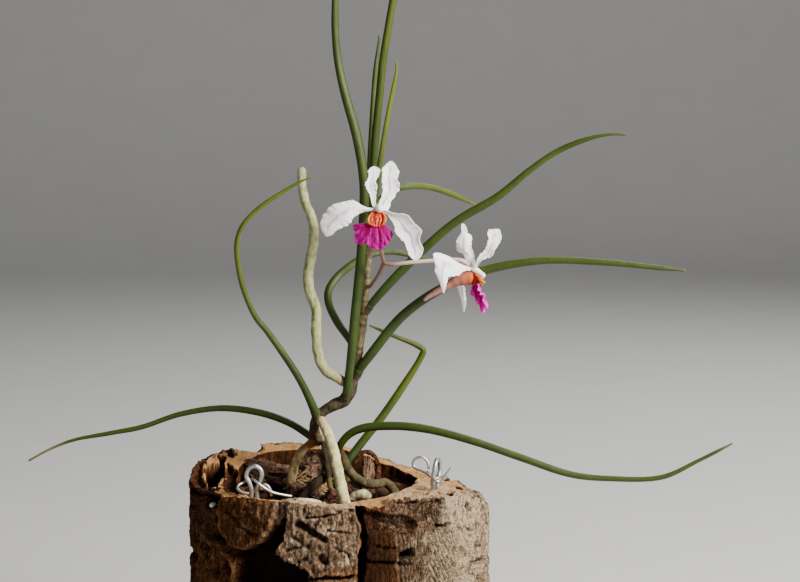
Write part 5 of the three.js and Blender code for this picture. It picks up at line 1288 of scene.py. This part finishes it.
def leaves():
    for name, (points, radius, groove, tip, yellow) in LEAVES.items():
        def relief(around, along, place):
            off = 2 * math.sin((around - groove) / 2)
            keel = 2 * math.cos((around - groove) / 2)
            reach = between(radius, along)
            shape = -0.3 * math.exp(-off * off / 0.12) + 0.05 * math.exp(-keel * keel / 0.2)
            return reach * shape + 0.05 * noise.noise(place / 9)

        bm = tube(points, radius, 36, 110, relief=relief, bluntness=2)
        settle(f"grown_{name}", bm, leaf_finish(name.title(), tip, yellow), name)


def roots():
    patches = {"root_rim": (0.3, 0.5), "root_front": (0.86, 0.93), "root_strand": (0.62, 0.98)}
    for name, (points, radius, light, shade, near_stem) in ROOTS.items():
        def relief(around, along, place):
            return 0.34 * noise.fractal(place / 5, 1, 2, 3) + 0.1 * noise.noise(place / 1.5)

        across = (0, 1, 0) if name in ("root_aerial", "root_rim", "root_stub") else (1, 0, 0)
        bm = tube(points, radius, 28, 130, across, relief)
        finish = root_finish(name.title(), light, shade, near_stem, patches.get(name))
        settle(f"grown_{name}", bm, finish, name)
    bm = tube(SIDE_SHOOT, SIDE_SHOOT_RADIUS, 24, 30, (1, 0, 0))
    settle("pale_side_shoot", bm, shoot_finish(), "side_shoot")


def flower_stalk():
    routes = [
        (PEDUNCLE, [(0, 1), (0.2, 0.8), (1, 1)], 0.1), (PEDICEL_FRONT, [(0, 0.9), (0.6, 1), (1, 1.4)], 0.25),
        (PEDICEL_SIDE, [(0, 0.9), (0.6, 0.95), (1, 1.4)], 1),
    ]
    parts = []
    for points, radius, pink in routes:
        bm = tube(points, radius, 16, 60)
        layer = bm.verts.layers.float.new("pink")
        for vert in bm.verts:
            vert[layer] = pink
        parts.append(bm)
    settle("flower_stalk_with_pedicels", joined(parts), stalk_finish(), "flower_stalk")


def tepal(name, node, finish, left, right, cup, wave, phase):
    """A sepal or petal between its two edges, with a cupped section and a waved, notched border."""
    edges = [Route(left), Route(right)]
    bm = grid(20, 72)
    for vert in bm.verts:
        across, along = 2 * vert.co.x - 1, vert.co.y
        (start, rising), (end, turning) = (edge.at(along) for edge in edges)
        middle, half = (start + end) / 2, (end - start) / 2
        outward = half.cross(rising + turning).normalized()
        side = math.copysign(3, across) + phase
        notch = 0.9 * noise.noise(Vector((along * 9, side, 0))) + 0.9 * noise.noise(Vector((along * 21, side, 4)))
        notch *= min(1, half.length / 3) * abs(across) ** 3 * min(1, along * 4) * min(1, (1 - along) * 6)
        turn = 5 * math.pi * along + phase + across
        ripple = wave * math.sin(turn) * abs(across) ** 1.5 + 0.25 * math.sin(4.3 * turn) * abs(across) ** 4
        lift = (ripple - cup * across * across) * math.sin(math.pi * min(1, along * 0.97))
        crease = -0.25 * math.exp(-((across / 0.12) ** 2)) * math.sin(math.pi * along)
        edgeways = half.normalized() * math.copysign(notch, across)
        vert.co = middle + half * across + edgeways - outward * (lift + crease)
    settle(name, bm, finish, node, PETAL_THICKNESS, 1)


def lip(name, node, finish, shape):
    """The lip's blade: a fan from its broad neck, with lobed edges, soft folds and a frilled border."""
    bm = grid(110, 30)
    start, end = LIP_OUTLINE[0][0], LIP_OUTLINE[-1][0]
    for vert in bm.verts:
        along = vert.co.y
        degrees = start + (end - start) * vert.co.x
        angle = math.radians(degrees)
        reach = LIP_NECK + (between(LIP_OUTLINE, degrees) - LIP_NECK) * along
        crimp = 0.3 * noise.noise(Vector((angle * 14, 0, 0))) + 0.25 * noise.noise(Vector((angle * 34, 0, 3)))
        reach += crimp * 1.6 * along ** 4
        across = reach * math.sin(angle) * shape["spread"] + shape["base"] * math.sin(angle) * (1 - along) ** 1.5
        ridge = 0.3 * math.cos(13 * angle) * math.sin(math.pi * min(1, along * 1.2)) * math.exp(-(angle / 0.5) ** 2)
        frill = shape["frill"] * (noise.noise(Vector((angle * 3.2, along * 2, 7))) * along
                                  + 0.7 * noise.noise(Vector((angle * 9, along * 4, 2))) * along ** 2)
        frill += 0.3 * math.sin(27 * angle) * along ** 5
        bow = -0.014 * reach * reach
        vert.co = (
            Vector(shape["neck"])
            + Vector(shape["right"]) * across
            + Vector(shape["down"]) * reach * math.cos(angle)
            + Vector(shape["front"]) * (ridge + frill + bow)
        )
    settle(name, bm, finish, node, PETAL_THICKNESS, 1)


def side_lobes(name, node, finish, shape):
    """The upright side lobes and the callus between them: a trough whose sides stand forward."""
    bm = grid(36, 24)
    for vert in bm.verts:
        across, along = 2 * vert.co.x - 1, vert.co.y
        width = shape["half_width"] * (0.4 + 0.6 * math.sin(math.pi * (0.08 + 0.8 * along)))
        ear = shape["rise"] * abs(across) ** 1.6 * math.sin(math.pi * (0.12 + 0.6 * along))
        ear *= 1 + 0.14 * math.sin(17 * along + 2 * across)
        callus = 1.1 * math.exp(-((across / 0.35) ** 2)) * math.sin(math.pi * min(1, along + 0.1))
        folds = 0.25 * math.cos(across * 17) * along
        rounded = along - 0.16 * across * across * along ** 3
        vert.co = (
            Vector(shape["top"]).lerp(Vector(shape["bottom"]), rounded)
            + Vector(shape["right"]) * across * width
            + Vector(shape["front"]) * (ear + callus + folds)
        )
    settle(name, bm, finish, node, 0.7, 1)


def column(name, node, finish, points, radius):
    """The column: a blunt finger with a cap at its end."""
    def relief(around, along, place):
        cap = 0.12 * window(along, 0.8, 0.9, 0.05) - 0.16 * window(along, 0.74, 0.76, 0.03)
        return cap + 0.1 * math.sin(3 * around) * along

    route = Route(points)
    bm = tube(points, radius, 28, 40, (0, 0, 1), relief)
    layer = bm.verts.layers.float.new("under")
    for vert in bm.verts:
        along = vert.link_loops[0][bm.loops.layers.uv["UVMap"]].uv.y
        vert[layer] = (route.at(along)[0].z - vert.co.z) / 2
    settle(name, bm, finish, node)


def spur(name, node, finish, points, radius):
    def relief(around, along, place):
        return 0.12 * noise.noise(place / 2.5) + 0.04 * math.sin(6 * around)

    bm = tube(points, radius, 24, 60, relief=relief)
    settle(name, bm, finish, node)


def flowers():
    white, orange, wax, salmon = sepal_finish(), lobe_finish(), column_finish(), spur_finish()
    for suffix, parts in FLOWERS.items():
        # Each lip gets its own copy of the finish, the side one painted brighter as painted light.
        magenta = lip_finish(f"Lip_{suffix}", parts["lip"]["edge"])
        column(f"flower_column_{suffix}", f"column_{suffix}", wax, *parts["column"])
        spur(f"flower_spur_{suffix}", f"spur_{suffix}", salmon, *parts["spur"])
        side_lobes(f"flower_side_lobes_{suffix}", f"side_lobes_{suffix}", orange, parts["lobes"])
        lip(f"flower_lip_{suffix}", f"lip_{suffix}", magenta, parts["lip"])
        for name, shape in parts["tepals"].items():
            tepal(f"flower_{name}_{suffix}", f"{name}_{suffix}", white, *shape)


def wires():
    finish = wire_finish()
    for name, (radius, routes) in WIRES.items():
        parts = [tube(points, [(0, radius), (1, radius)], 20, 110, bluntness=0.3) for points in routes]
        settle(f"bent_{name}", joined(parts), finish, name)


def base_plug():
    """The plug keeps its own shape and gets a bark finish of its own."""
    cork = wood_bark_finish("Plug", (0.4, 0.26, 0.15), (0.16, 0.08, 0.04))
    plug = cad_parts["base_plug"]
    plug.data.materials.clear()
    plug.data.materials.append(cork.material)


# Stage, light and camera

def stage():
    """A pale floor that curves up behind the object."""
    bm = bmesh.new()
    bmesh.ops.create_grid(bm, x_segments=8, y_segments=60, size=0.5)
    width, near, far, bend, high = 9, -2.4, 2.2, 0.9, 4.5
    for vert in bm.verts:
        x, share = vert.co.x * width, vert.co.y + 0.5
        way = share * (far - near + math.pi / 2 * bend + high)
        over = way - (far - near)
        if over <= 0:
            vert.co = (x, near + way, 0)
        elif over <= math.pi / 2 * bend:
            vert.co = (x, far + bend * math.sin(over / bend), bend - bend * math.cos(over / bend))
        else:
            vert.co = (x, far + bend, bend + over - math.pi / 2 * bend)
    mesh = bpy.data.meshes.new("floor")
    bm.to_mesh(mesh)
    bm.free()
    mesh.shade_smooth()
    paper = Finish("Paper")
    paper.set(base_color=paper.mix((0.5, 0.5, 0.49), (0.54, 0.54, 0.53), paper.noise(60, 2)), roughness=0.9)
    mesh.materials.append(paper.material)
    floor = bpy.data.objects.new("floor", mesh)
    bpy.context.scene.collection.objects.link(floor)


def soft_box(name, place, size, power, colour=(1, 1, 1), aim=(0, 0, 0.2)):
    light = bpy.data.lights.new(name, "AREA")
    light.shape = "RECTANGLE"
    light.size, light.size_y = size
    light.energy = power
    light.color = colour
    lamp = bpy.data.objects.new(name, light)
    lamp.location = place
    lamp.rotation_mode = "QUATERNION"
    lamp.rotation_quaternion = (Vector(aim) - Vector(place)).to_track_quat("-Z", "Y")
    bpy.context.scene.collection.objects.link(lamp)


def lights():
    soft_box("key", (1.05, -0.75, 0.95), (0.45, 0.45), 74, (1, 0.97, 0.93))
    soft_box("fill", (-1.3, -1.0, 0.7), (1.2, 1.2), 3, (0.93, 0.96, 1))
    soft_box("back", (0.5, 1.1, 1.2), (0.8, 0.8), 12)
    world = bpy.data.worlds.new("Studio")
    world.use_nodes = True
    world.node_tree.nodes["Background"].inputs["Color"].default_value = (0.6, 0.62, 0.65, 1)
    world.node_tree.nodes["Background"].inputs["Strength"].default_value = 0.2
    bpy.context.scene.world = world


def camera():
    lens = bpy.data.cameras.new("camera")
    lens.lens = CAMERA_LENS
    lens.sensor_width = CAMERA_SENSOR
    eye = bpy.data.objects.new("camera", lens)
    eye.location = CAMERA_PLACE
    eye.rotation_euler = (math.radians(90 - CAMERA_DOWN), 0, 0)
    bpy.context.scene.collection.objects.link(eye)
    bpy.context.scene.camera = eye


camera()
stage()
lights()
cork_tube()
base_plug()
planting_mix()
bark_chunks()
inner_curl()
bead()
loose_fibres()
stem()
leaf_sheaths()
leaves()
roots()
flower_stalk()
flowers()
wires()
